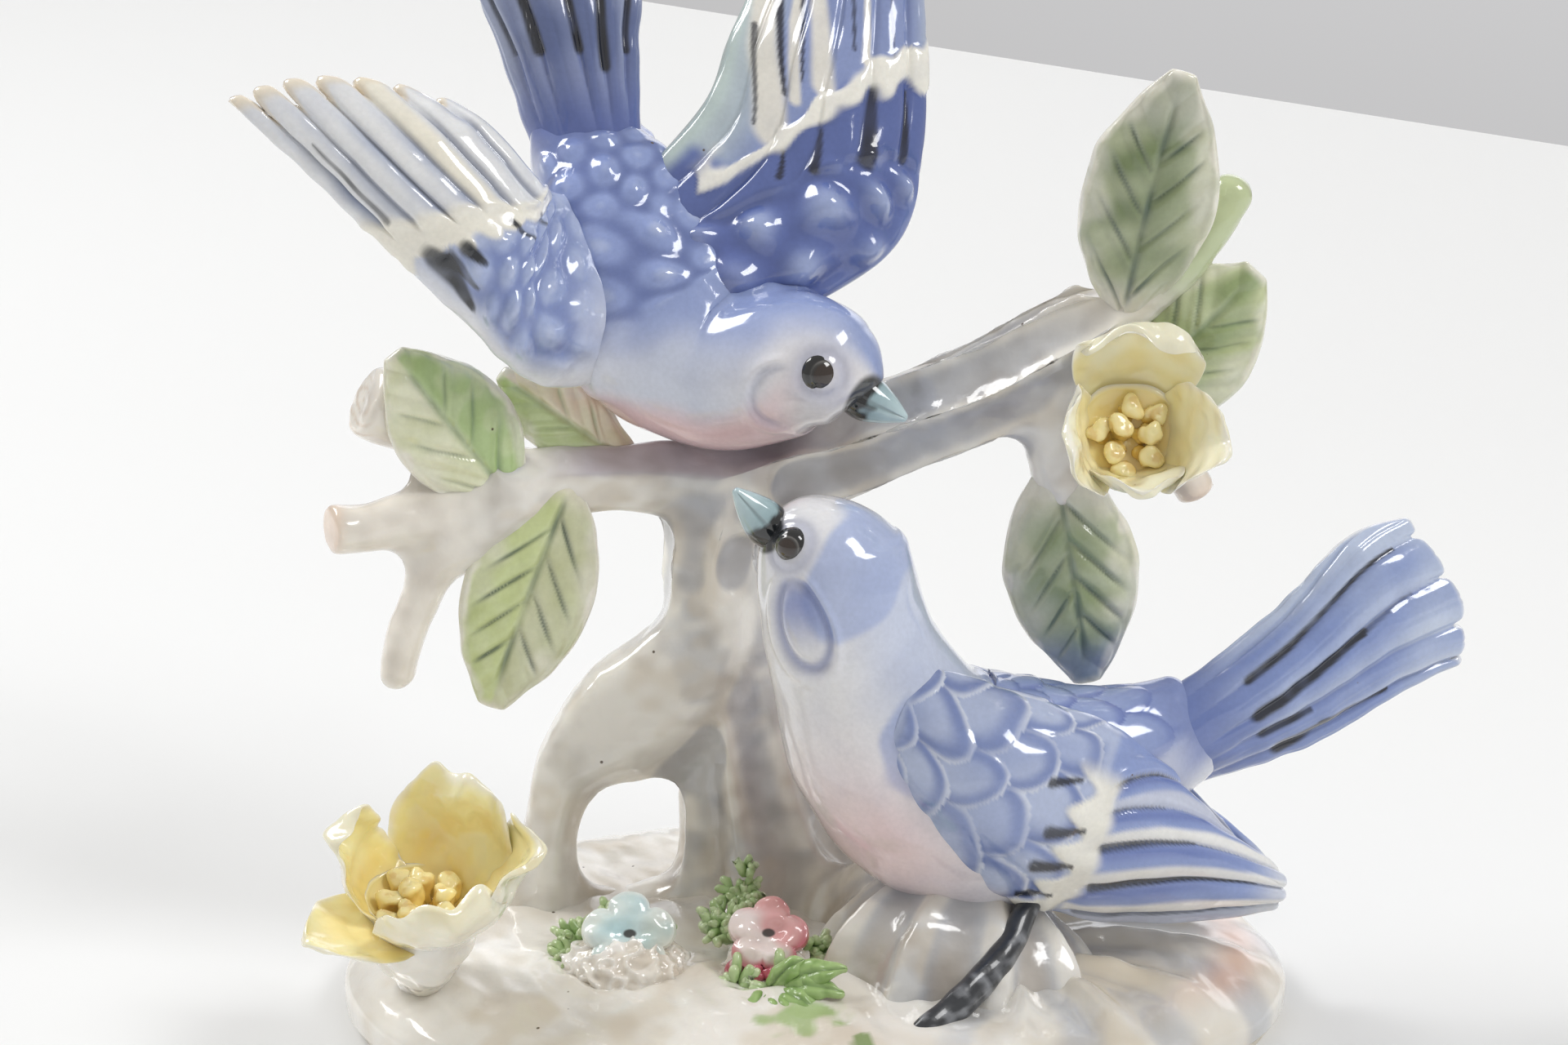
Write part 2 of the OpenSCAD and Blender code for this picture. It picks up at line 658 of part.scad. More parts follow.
// Rough little heap that carries a blossom
module heap(foot, width, height) {
    color(porcelain) sweep([foot - [0, 0, 1.5], foot + [0, -0.5, height * 0.5],
        foot + [0, -0.5, height]], [width / 2, width * 0.46, width * 0.2],
        [width * 0.44, width * 0.4, width * 0.18], steps = 5, sides = 24, ridges = 8,
        ridge = 0.06, twist = 300);
}

module blue_blossom_mound() {
    heap(blue_middle, 14, 5);
}

module blue_blossom() {
    color(blossom_blue) blossom(blue_middle + [0.3, -1.2, 4.4], blossom_axis, blossom_width, 90);
}

module pink_blossom_mound() {
    heap(pink_middle, 9.5, 4.8);
}

module pink_blossom() {
    color(blossom_pink) blossom(pink_middle + [0, -1.2, 4.2], blossom_axis, blossom_width * 0.85,
        100);
}

module blue_blossom_moss() {
    color(moss_green) {
        threads(blue_middle + [-6.3, 0, 0], 7, 4.5, 3, 0.9, unit([-0.3, -0.5, 0.8]));
        threads(blue_middle + [0.5, 4.6, 2], 6, 4, 3, 0.9, unit([0, -0.3, 0.9]));
    }
}

module pink_blossom_moss() {
    color(moss_green) {
        threads(pink_middle + [-5, 3.4, 2.6], 7, 4.5, 2.6, 0.9, unit([-0.2, -0.5, 0.8]));
        threads(pink_middle + [-2.6, 6, 5], 5, 4, 2, 0.9, unit([0, -0.3, 0.9]));
        threads(pink_middle + [6, 0.5, 0.5], 7, 4, 3, 0.9, unit([0.3, -0.5, 0.8]));
    }
}

module leafy_sprig() {
    color(moss_green) threads(pink_middle + [2.5, -7.5, -0.5], 9, 4, 6.5, 1.25,
        unit([0.1, -0.8, 0.6]));
}

module red_buds() {
    color(bud_red) for (p = [[-4, -3.6, 1.6], [-1.6, -5.4, 1.2], [1.4, -6, 0.8]]) {
        translate(pink_middle + p) sphere(r = 1.4, $fn = 14);
    }
}

base_plate();
base_mound();
tree_trunk();
looping_limb();
left_branch();
right_branch();
right_fork();
upper_left_stub();
middle_left_stub();
lower_left_twig();
bud_stub();
lower_right_stub();
upright_leaf();
outer_leaf();
right_hanging_leaf();
upper_left_leaf();
inner_leaf();
left_hanging_leaf();
diving_bird_body();
diving_bird_tail();
diving_bird_near_wing();
diving_bird_far_wing();
diving_bird_beak();
diving_bird_eyes();
perched_bird_body();
perched_bird_tail();
perched_bird_near_wing();
perched_bird_far_wing();
perched_bird_beak();
perched_bird_eyes();
rock();
painted_twig();
upper_flower_cup();
upper_flower_top_petal();
upper_flower_left_petal();
upper_flower_right_petal();
upper_flower_bottom_petal();
upper_flower_stamens();
lower_flower_cup();
lower_flower_back_petal();
lower_flower_right_petal();
lower_flower_front_petal();
lower_flower_left_petal();
lower_flower_side_petal();
lower_flower_stamens();
blue_blossom();
blue_blossom_mound();
pink_blossom();
pink_blossom_mound();
blue_blossom_moss();
pink_blossom_moss();
leafy_sprig();
red_buds();
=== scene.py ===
import math
import bmesh
import bpy
import numpy as np
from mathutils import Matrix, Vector


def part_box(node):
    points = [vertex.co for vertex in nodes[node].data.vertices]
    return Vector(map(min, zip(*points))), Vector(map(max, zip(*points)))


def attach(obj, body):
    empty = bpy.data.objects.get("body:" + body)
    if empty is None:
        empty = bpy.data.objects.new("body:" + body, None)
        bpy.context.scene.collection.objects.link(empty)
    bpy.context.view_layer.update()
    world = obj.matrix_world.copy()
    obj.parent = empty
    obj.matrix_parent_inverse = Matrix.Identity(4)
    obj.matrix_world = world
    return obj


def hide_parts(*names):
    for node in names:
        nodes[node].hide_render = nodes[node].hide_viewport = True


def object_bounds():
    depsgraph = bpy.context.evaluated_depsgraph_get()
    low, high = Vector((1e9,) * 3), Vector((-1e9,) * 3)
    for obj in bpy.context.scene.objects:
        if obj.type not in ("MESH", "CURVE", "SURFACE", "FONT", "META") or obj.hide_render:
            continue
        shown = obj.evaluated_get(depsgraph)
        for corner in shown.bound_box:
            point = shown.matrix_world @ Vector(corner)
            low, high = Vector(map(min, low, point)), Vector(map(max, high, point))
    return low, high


# Porcelain figurine: two songbirds on a flowering tree, glazed and painted by hand.
# Shapes are worked out in millimetres and put into the meshes in metres.
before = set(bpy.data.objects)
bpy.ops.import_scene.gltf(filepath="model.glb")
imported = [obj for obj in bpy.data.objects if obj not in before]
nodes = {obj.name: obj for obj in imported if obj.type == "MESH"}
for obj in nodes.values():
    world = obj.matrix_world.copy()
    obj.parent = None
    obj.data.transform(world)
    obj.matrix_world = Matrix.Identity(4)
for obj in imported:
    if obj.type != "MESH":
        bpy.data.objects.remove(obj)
cad_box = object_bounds()
MM = 0.001


# ---- numbers and colours ----

def rgb(hex_colour):
    """An sRGB hex colour as linear red, green and blue."""
    s = np.array([int(hex_colour[i:i + 2], 16) for i in (1, 3, 5)]) / 255
    return np.where(s <= 0.04045, s / 12.92, ((s + 0.055) / 1.055) ** 2.4)


def mix(under, over, share):
    """Colour or point `under` taken towards `over` by a share from 0 to 1."""
    over = rgb(over) if isinstance(over, str) else over
    return under + (over - under) * np.asarray(share)[..., None]


def coat(colour, points):
    """One even coat of a colour over all the points."""
    return np.broadcast_to(rgb(colour), points.shape)


def rise(x, low, high):
    """0 below low, 1 above high, and a smooth S between; high may be the lower one."""
    s = np.clip((x - low) / (high - low), 0, 1)
    return s * s * (3 - 2 * s)


def near(x, middle, reach):
    """1 at the middle, falling off as a bell whose half width is `reach`."""
    return np.exp(-((x - middle) / reach) ** 2)


def wander(points, size, seed):
    """Smooth wandering from about -1 to 1: the sum of sines that run in random directions,
    each with a wavelength near `size` in mm."""
    dice = np.random.default_rng(seed)
    way = dice.normal(size=(14, 3))
    way /= np.linalg.norm(way, axis=1, keepdims=True)
    way *= (2 * math.pi / size) * dice.uniform(0.6, 1.5, (14, 1))
    return np.sin(points @ way.T + dice.uniform(0, 6.28, 14)).sum(-1) / 3.2


def unit(v):
    return v / np.maximum(np.linalg.norm(v, axis=-1, keepdims=True), 1e-12)


# ---- curves and surfaces ----

def blending(count, t):
    """Catmull-Rom spline: the four neighbouring points' numbers and weights at t from 0 to 1."""
    s = np.clip(t, 0, 1) * (count - 1)
    i = np.minimum(s.astype(int), count - 2)
    f = s - i
    w = np.stack([-f + 2 * f**2 - f**3, 2 - 5 * f**2 + 3 * f**3,
                  f + 4 * f**2 - 3 * f**3, f**3 - f**2]) / 2
    return np.clip(np.stack([i - 1, i, i + 1, i + 2]), 0, count - 1), w


def along(points, t):
    """Smooth curve through the listed points or numbers, t from 0 to 1."""
    points = np.asarray(points, float)
    i, w = blending(len(points), np.asarray(t, float))
    if points.ndim == 1:
        return (w * points[i]).sum(0)
    return (w[..., None] * points[i]).sum(0)


def through(net, u, v):
    """Smooth surface through a net of points, u across its columns and v along its rows."""
    net = np.asarray(net, float)
    iu, wu = blending(net.shape[1], u)
    iv, wv = blending(net.shape[0], v)
    return sum((wv[k] * wu[m])[..., None] * net[iv[k], iu[m]] for k in range(4) for m in range(4))


def travelled(path, t):
    """Length of the curve in mm up to each share t."""
    fine = np.linspace(0, 1, 400)
    steps = np.linalg.norm(np.diff(along(path, fine), axis=0), axis=1)
    return np.interp(t, fine, np.concatenate([[0], np.cumsum(steps)]))


def stations(rows, sides):
    """Shares t along a piece, closer together at its two ends, and angles a round it."""
    s = np.linspace(0, 1, rows)
    t = s - 0.75 * np.sin(2 * math.pi * s) / (2 * math.pi)
    a = np.arange(sides) * 2 * math.pi / sides
    return np.meshgrid(t, a, indexing="ij")


def sweep(path, widths, depths, facing=(0, -1, 0), rows=100, sides=72, cup=0.0, ends=(0, 0)):
    """Oval carried along a curve. At share t the point at angle a lies cos a half widths to the
    side and sin a half depths towards the facing side; cup bends the section by cos a squared;
    each end is rounded off as a quarter circle over its share of the length."""
    t, a = stations(rows, sides)
    line = t[:, 0]
    middle = along(path, line)
    ahead = unit(along(path, np.minimum(line + 0.01, 1)) - along(path, np.maximum(line - 0.01, 0)))
    side = unit(np.cross(ahead, np.asarray(facing, float)))
    out = np.cross(side, ahead)
    cap = np.ones_like(line)
    for end, share in ((line, ends[0]), (1 - line, ends[1])):
        if share:
            cap *= np.sqrt(np.clip(1 - (1 - np.clip(end / share, 0, 1)) ** 2, 0, 1))
    w = (along(widths, line) * cap)[:, None]
    d = (along(depths, line) * cap)[:, None]
    grid = (middle[:, None] + side[:, None] * (w * np.cos(a))[..., None]
            + out[:, None] * (d * np.sin(a) - cup * w * np.cos(a) ** 2)[..., None])
    return grid, t, a


def slab(net, thickness, taper, cuts, notch, rows=200, sides=300):
    """Thin plate over a net of points: u runs across as (1 - cos a) / 2, the faces stand half the
    thickness to either side, and the far end is notched where the cuts lie across it."""
    t, a = stations(rows, sides)
    t = 0.5 * t + 0.5 * np.linspace(0, 1, rows)[:, None]
    u = (1 - np.cos(a)) / 2
    lobe = sum(near(u, c, 0.022) for c in cuts)
    v = t * (1 - notch * lobe * t**3)
    eps = 0.01
    du = through(net, np.minimum(u + eps, 1), v) - through(net, np.maximum(u - eps, 0), v)
    dv = through(net, u, np.minimum(v + eps, 1)) - through(net, u, np.maximum(v - eps, 0))
    cap = np.sqrt(np.clip(1 - (1 - np.clip((1 - t) / 0.03, 0, 1)) ** 2, 0, 1)) * rise(t, -0.02, 0.02)
    half = thickness / 2 * along(taper, t) * cap
    across = np.sign(np.sin(a)) * np.abs(np.sin(a)) ** 0.8
    grid = through(net, u, v) + unit(np.cross(dv, du)) * (half * across)[..., None]
    return grid, t, a, u


def normals(grid):
    """Outward direction at each point: the step round the ring crossed with the step along."""
    n = unit(np.cross(np.roll(grid, -1, 1) - np.roll(grid, 1, 1), np.gradient(grid, axis=0)))
    return n * np.sign(np.sum(n * (grid - grid.mean(1, keepdims=True))))


def lift(grid, height):
    """Every point moved outwards by its height in mm."""
    return grid + normals(grid) * np.asarray(height)[..., None]


def scales(s, q, pitch, lean, reach):
    """Round scales on a staggered net of this pitch in mm: each is a dome `reach` pitches long
    either way, leant so that its free end stands higher, and the highest one shows. Gives its
    height and how near its rim is."""
    step = pitch * 0.8
    best, rim = np.full(np.shape(s), -1.0), np.ones(np.shape(s))
    for dr in (-1, 0, 1):
        row = np.round(s / step) + dr
        shift = 0.5 * (row % 2)
        for dc in (-1, 0, 1):
            col = np.round(q / pitch - shift) + dc
            ds = (s - row * step) / (pitch * reach)
            dq = (q - (col + shift) * pitch) / (pitch * 0.56)
            r2 = ds**2 + dq**2
            h = np.where(r2 < 1, np.sqrt(np.clip(1 - r2, 0, 1)) * (1 - lean) + lean * (0.5 + ds / 2), -1)
            better = h > best
            best = np.where(better, h, best)
            rim = np.where(better, np.sqrt(r2), rim)
    return np.clip(best, 0, 1), np.clip(rim, 0, 1)


def beads(s, q, pitch):
    """Round bumps on a staggered net of this pitch in mm: the sum of bells over the nine nearest
    places. Gives its height and, as 1.15 minus that height, how deep in the valley a point lies."""
    step = pitch * 0.86
    total = np.zeros(np.shape(s))
    for dr in (-1, 0, 1):
        row = np.round(s / step) + dr
        shift = 0.5 * (row % 2)
        for dc in (-1, 0, 1):
            col = np.round(q / pitch - shift) + dc
            far = ((s - row * step) ** 2 + (q - (col + shift) * pitch) ** 2) / (pitch * 0.36) ** 2
            total = total + np.exp(-far)
    height = np.clip(total, 0, 1.05)
    return height, np.clip(1.15 - height, 0, 1)


def stroke(u, v, size, line, width):
    """One brush stroke on a plate `size` mm across and long: 1 along the broken line through its
    (u, v) points and 0 beyond its width in mm, which narrows towards the last point."""
    p = np.stack([u * size[0], v * size[1]], -1)
    inside = np.zeros(u.shape)
    for k, (a, b) in enumerate(zip(line, line[1:])):
        a, b = np.array(a) * size, np.array(b) * size
        s = np.clip((p - a) @ (b - a) / ((b - a) @ (b - a)), 0, 1)
        reach = width / 2 * (1 - 0.6 * (k + s) / (len(line) - 1))
        far = np.linalg.norm(p - a - s[..., None] * (b - a), axis=-1)
        inside = np.maximum(inside, rise(far, reach * 1.25, reach * 0.5))
    return inside


# ---- meshes ----

def into_mesh(name, points, quads, triangles, colours):
    """A mesh of these points in mm, its faces turned outwards by the sign of its volume."""
    tri = np.concatenate([quads[:, [0, 1, 2]], quads[:, [0, 2, 3]], triangles]).astype(int)
    p = points[tri]
    if np.einsum("ij,ij->", p[:, 0], np.cross(p[:, 1], p[:, 2])) < 0:
        quads, triangles = quads[:, ::-1], triangles[:, ::-1]
    mesh = bpy.data.meshes.new(name)
    mesh.vertices.add(len(points))
    mesh.vertices.foreach_set("co", (points * MM).astype(np.float32).ravel())
    corners = np.concatenate([quads.ravel(), triangles.ravel()]).astype(np.int32)
    starts = np.concatenate([np.arange(len(quads)) * 4,
                             len(quads) * 4 + np.arange(len(triangles)) * 3]).astype(np.int32)
    mesh.loops.add(len(corners))
    mesh.loops.foreach_set("vertex_index", corners)
    mesh.polygons.add(len(starts))
    mesh.polygons.foreach_set("loop_start", starts)
    layer = mesh.color_attributes.new("paint", "FLOAT_COLOR", "POINT")
    layer.data.foreach_set("color", np.c_[colours, np.ones(len(colours))].astype(np.float32).ravel())
    mesh.update(calc_edges=True)
    mesh.validate()
    mesh.shade_smooth()
    return mesh


def faces_of(rows, sides, zipped):
    """Faces of a grid of rings: quads between rings, and either fans to a middle point at each
    end or, where the end is thin, its front zipped to its back."""
    j = np.arange(sides)
    index = np.arange(rows * sides).reshape(rows, sides)
    if zipped:
        index[-1] = index[-1][np.minimum(j, (sides - j) % sides)]
        index[0] = index[0][np.minimum(j, (sides - j) % sides)]
    a, b = index[:-1], index[1:]
    quads = np.stack([a, np.roll(a, -1, 1), np.roll(b, -1, 1), b], -1).reshape(-1, 4)
    if zipped:
        return quads, np.zeros((0, 3), int)
    first, last = rows * sides, rows * sides + 1
    fans = np.concatenate([
        np.stack([np.full(sides, first), np.roll(index[0], -1), index[0]], -1),
        np.stack([np.full(sides, last), index[-1], np.roll(index[-1], -1)], -1)])
    return quads, fans


def piece(name, parts, material, replaced, zipped=False):
    """One object made of skins over grids, each with its colours, standing for CAD nodes."""
    points, quads, fans, colours, count = [], [], [], [], 0
    for grid, paint in parts:
        rows, sides = grid.shape[:2]
        paint = np.broadcast_to(paint, grid.shape)
        q, f = faces_of(rows, sides, zipped)
        points += [grid.reshape(-1, 3), grid[[0, -1]].mean(1)]
        colours += [paint.reshape(-1, 3), paint[[0, -1]].mean(1)]
        quads.append(q + count)
        fans.append(f + count)
        count += rows * sides + 2
    mesh = into_mesh(name, np.concatenate(points), np.concatenate(quads), np.concatenate(fans),
                     np.clip(np.concatenate(colours), 0, 1))
    if zipped:
        drop_loose(mesh)
    return finish_piece(name, mesh, material, replaced)


def drop_loose(mesh):
    """Takes out points that no face uses, left over where an end was zipped."""
    b = bmesh.new()
    b.from_mesh(mesh)
    bmesh.ops.delete(b, geom=[v for v in b.verts if not v.link_faces], context="VERTS")
    b.to_mesh(mesh)
    b.free()


def finish_piece(name, mesh, material, replaced):
    mesh.materials.append(material)
    obj = bpy.data.objects.new(name, mesh)
    bpy.context.scene.collection.objects.link(obj)
    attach(obj, "root")
    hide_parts(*replaced)
    return obj


# ---- glazes and enamels ----

def add(tree, kind, inputs, **settings):
    """Adds a shader node with its settings; an input is a value or a socket to link from."""
    made = tree.nodes.new(kind)
    for key, value in settings.items():
        setattr(made, key, value)
    for key, value in inputs.items():
        if isinstance(value, bpy.types.NodeSocket):
            tree.links.new(value, made.inputs[key])
        else:
            made.inputs[key].default_value = value
    return made


def fired(name, cloud, cloud_size, depth, specks, roughness, shine, glow, waves, streak=None,
          plain=None):
    """Painted porcelain under clear glaze. The brushed colour is the piece's own attribute, or
    one plain colour; shine is the weight of the glaze over it; clouds of `cloud` colour up to
    `depth` lie in it; specks are dark iron spots in the glaze; waves is the orange peel of the
    fired glaze, 2 mm from crest to crest; glow is how far light goes into the body; streak is
    the brush hairs' width in mm."""
    material = bpy.data.materials.new(name)
    material.use_nodes = True
    tree = material.node_tree
    tree.nodes.clear()
    where = add(tree, "ShaderNodeTexCoord", {}).outputs["Object"]
    if plain:
        paint = (*rgb(plain), 1)
    else:
        paint = add(tree, "ShaderNodeAttribute", {}, attribute_name="paint").outputs["Color"]
    fog = add(tree, "ShaderNodeTexNoise", {"Vector": where, "Scale": 1000 / cloud_size, "Detail": 1.5,
                                           "Roughness": 0.5})
    fog = add(tree, "ShaderNodeMapRange", {"Value": fog.outputs["Fac"], "From Min": 0.45,
                                           "From Max": 0.75, "To Max": depth})
    colour = add(tree, "ShaderNodeMix", {0: fog.outputs[0], 6: paint, 7: (*rgb(cloud), 1)},
                 data_type="RGBA", blend_type="MULTIPLY").outputs[2]
    if streak:
        hairs = add(tree, "ShaderNodeTexNoise", {"Vector": where, "Scale": 1000 / streak, "Detail": 3.0})
        hairs = add(tree, "ShaderNodeMapRange", {"Value": hairs.outputs["Fac"], "From Min": 0.3,
                                                 "From Max": 0.7, "To Min": 0.96, "To Max": 1.03})
        colour = add(tree, "ShaderNodeVectorMath", {0: colour, 3: hairs.outputs[0]},
                     operation="SCALE").outputs[0]
    if specks:
        cells = add(tree, "ShaderNodeTexVoronoi", {"Vector": where, "Scale": 1000 / 3.2})
        dots = add(tree, "ShaderNodeMapRange", {"Value": cells.outputs["Distance"], "From Min": 0.05,
                                                "From Max": 0.08, "To Min": 1.0, "To Max": 0.0})
        pick = add(tree, "ShaderNodeSeparateColor", {0: cells.outputs["Color"]})
        few = add(tree, "ShaderNodeMath", {0: pick.outputs[0], 1: specks}, operation="LESS_THAN")
        spot = add(tree, "ShaderNodeMath", {0: dots.outputs[0], 1: few.outputs[0]}, operation="MULTIPLY")
        colour = add(tree, "ShaderNodeMix", {0: spot.outputs[0], 6: colour, 7: (*rgb("#5a4a3c"), 1)},
                     data_type="RGBA").outputs[2]
    ripple = add(tree, "ShaderNodeTexNoise", {"Vector": where, "Scale": 1000 / 2.0, "Detail": 2.0})
    bump = add(tree, "ShaderNodeBump", {"Height": ripple.outputs["Fac"], "Strength": waves,
                                        "Distance": 0.0004})
    dull = add(tree, "ShaderNodeMapRange", {"Value": fog.outputs[0], "To Min": roughness,
                                            "To Max": roughness + 0.12})
    shader = add(tree, "ShaderNodeBsdfPrincipled", {
        "Base Color": colour, "Roughness": dull.outputs[0], "IOR": 1.5, "Normal": bump.outputs[0],
        "Coat Weight": shine, "Coat Roughness": 0.03, "Coat IOR": 1.5,
        "Subsurface Weight": glow, "Subsurface Radius": (1.0, 0.8, 0.6), "Subsurface Scale": 0.0015})
    add(tree, "ShaderNodeOutputMaterial", {"Surface": shader.outputs[0]})
    return material


# Slip-cast hard porcelain under a thick clear glaze: bright gloss, faint clouds, iron specks
PORCELAIN = fired("glazed_porcelain", "#d9cdb9", 9, 0.5, 0.10, 0.16, 0.9, 0.12, 0.25)
# The same body with grey-blue underglaze rubbed into the bark: softer clouds, more specks
BARK = fired("underglaze_washed_porcelain", "#cdc8c4", 5, 0.6, 0.12, 0.18, 0.9, 0.12, 0.3)
# Sprayed and brushed cobalt blue under the glaze: even gloss with fine brush hairs
FEATHER = fired("cobalt_underglaze_porcelain", "#e2e4ee", 5, 0.35, 0.04, 0.13, 1.0, 0.08, 0.15, 0.6)
# Leaf green underglaze, thin over the white body
LEAF = fired("green_underglaze_porcelain", "#dfe3c4", 4, 0.5, 0.06, 0.17, 0.9, 0.1, 0.25, 0.7)
# Hand-rolled petals, thin enough to glow; yellow sprayed inside
PETAL = fired("thin_petal_porcelain", "#efe2b8", 5, 0.35, 0.10, 0.2, 0.8, 0.3, 0.35)
# Pressed moss threads, opaque green enamel, half dull
MOSS = fired("green_moss_enamel", "#a9bf86", 1.5, 0.7, 0, 0.3, 0.5, 0.1, 0.2)
# Overglaze black and teal enamel: hard shine, no clouds to speak of
ENAMEL = fired("overglaze_enamel", "#b9b9b9", 1.5, 0.2, 0, 0.1, 1.0, 0.0, 0.08)
# Iron black brushed on in one dry stroke
BRUSHED = fired("brushed_iron_black", "#8f8f93", 2, 0.6, 0, 0.28, 0.6, 0.0, 0.3, 0.6)
# Unglazed foot, ground flat after firing
BISQUE = fired("ground_bisque_foot", "#d8cfc0", 3, 0.6, 0.15, 0.75, 0.0, 0.1, 0.1,
               plain="#e8e2d6")


# ---- where the groups stand ----

def home(node, drawn):
    """How far, in mm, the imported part's node stands from where its points are listed here."""
    return np.array(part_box(node)[0]) / MM - np.array(drawn)


TREE = home("tree_trunk", (-17.53, 1.15, 3.59))
GROUND = home("base_mound", (-57.11, -41.46, 2.2))
DIVING = home("diving_bird_body", (-34.45, 0.22, 67.45))
PERCHED = home("perched_bird_body", (-6.64, -19.79, 15.21))
UPPER = home("upper_flower_cup", (33.18, 1.69, 66.73))
LOWER = home("lower_flower_cup", (-51.84, -23.5, 6.77))
BLUE = home("blue_blossom_mound", (-29.42, -18.48, 6.68))
PINK = home("pink_blossom_mound", (-10.03, -16.48, 7.23))


# ---- tree and rock ----

FILLET = 1.9  # radius of the slip that fills every joint of the tree
CUT_RIM = 0.9  # how far a cut end's rim is rounded


def limb(points, radii, depths=None, ridges=0, ridge=0.0, twist=0.0, cut=False, facing=(0, -1, 0)):
    """Bark sweep, thicker and longer by FILLET: its radius swells by `ridge` where
    cos(ridges a + twist t) is high. Its far end is a quarter circle in section, over the whole
    radius for a knob, and over the rim alone for a cut end, whose disc is rings that shrink."""
    p = np.array(points, float)
    p[0] -= unit(p[1] - p[0]) * FILLET
    p[-1] += unit(p[-1] - p[-2]) * FILLET
    grid, t, a = sweep(p, np.array(radii) + FILLET, np.array(depths or radii) + FILLET, facing, rows=110,
                       sides=64, ends=(0.05, 0))
    thick = radii[-1] + FILLET
    reach = FILLET + CUT_RIM if cut else thick
    left = np.clip((travelled(p, t)[-1:] - travelled(p, t)) / reach, 0, 1)
    rim = np.sqrt(np.clip(1 - (1 - left) ** 2, 0, 1))
    middle = grid.mean(1, keepdims=True)
    grid = middle + (grid - middle) * (1 - reach / thick * (1 - rim))[..., None]
    middle = grid.mean(1, keepdims=True)
    wave = np.cos(ridges * a + twist * t)
    grid = middle + (grid - middle) * (1 + ridge * np.sign(wave) * np.abs(wave) ** 0.7)[..., None]
    if cut:
        shrink = np.array([0.9, 0.7, 0.4, 0.1])[:, None, None]
        grid = np.concatenate([grid, grid[-1].mean(0) + (grid[-1:] - grid[-1].mean(0)) * shrink])
    return grid


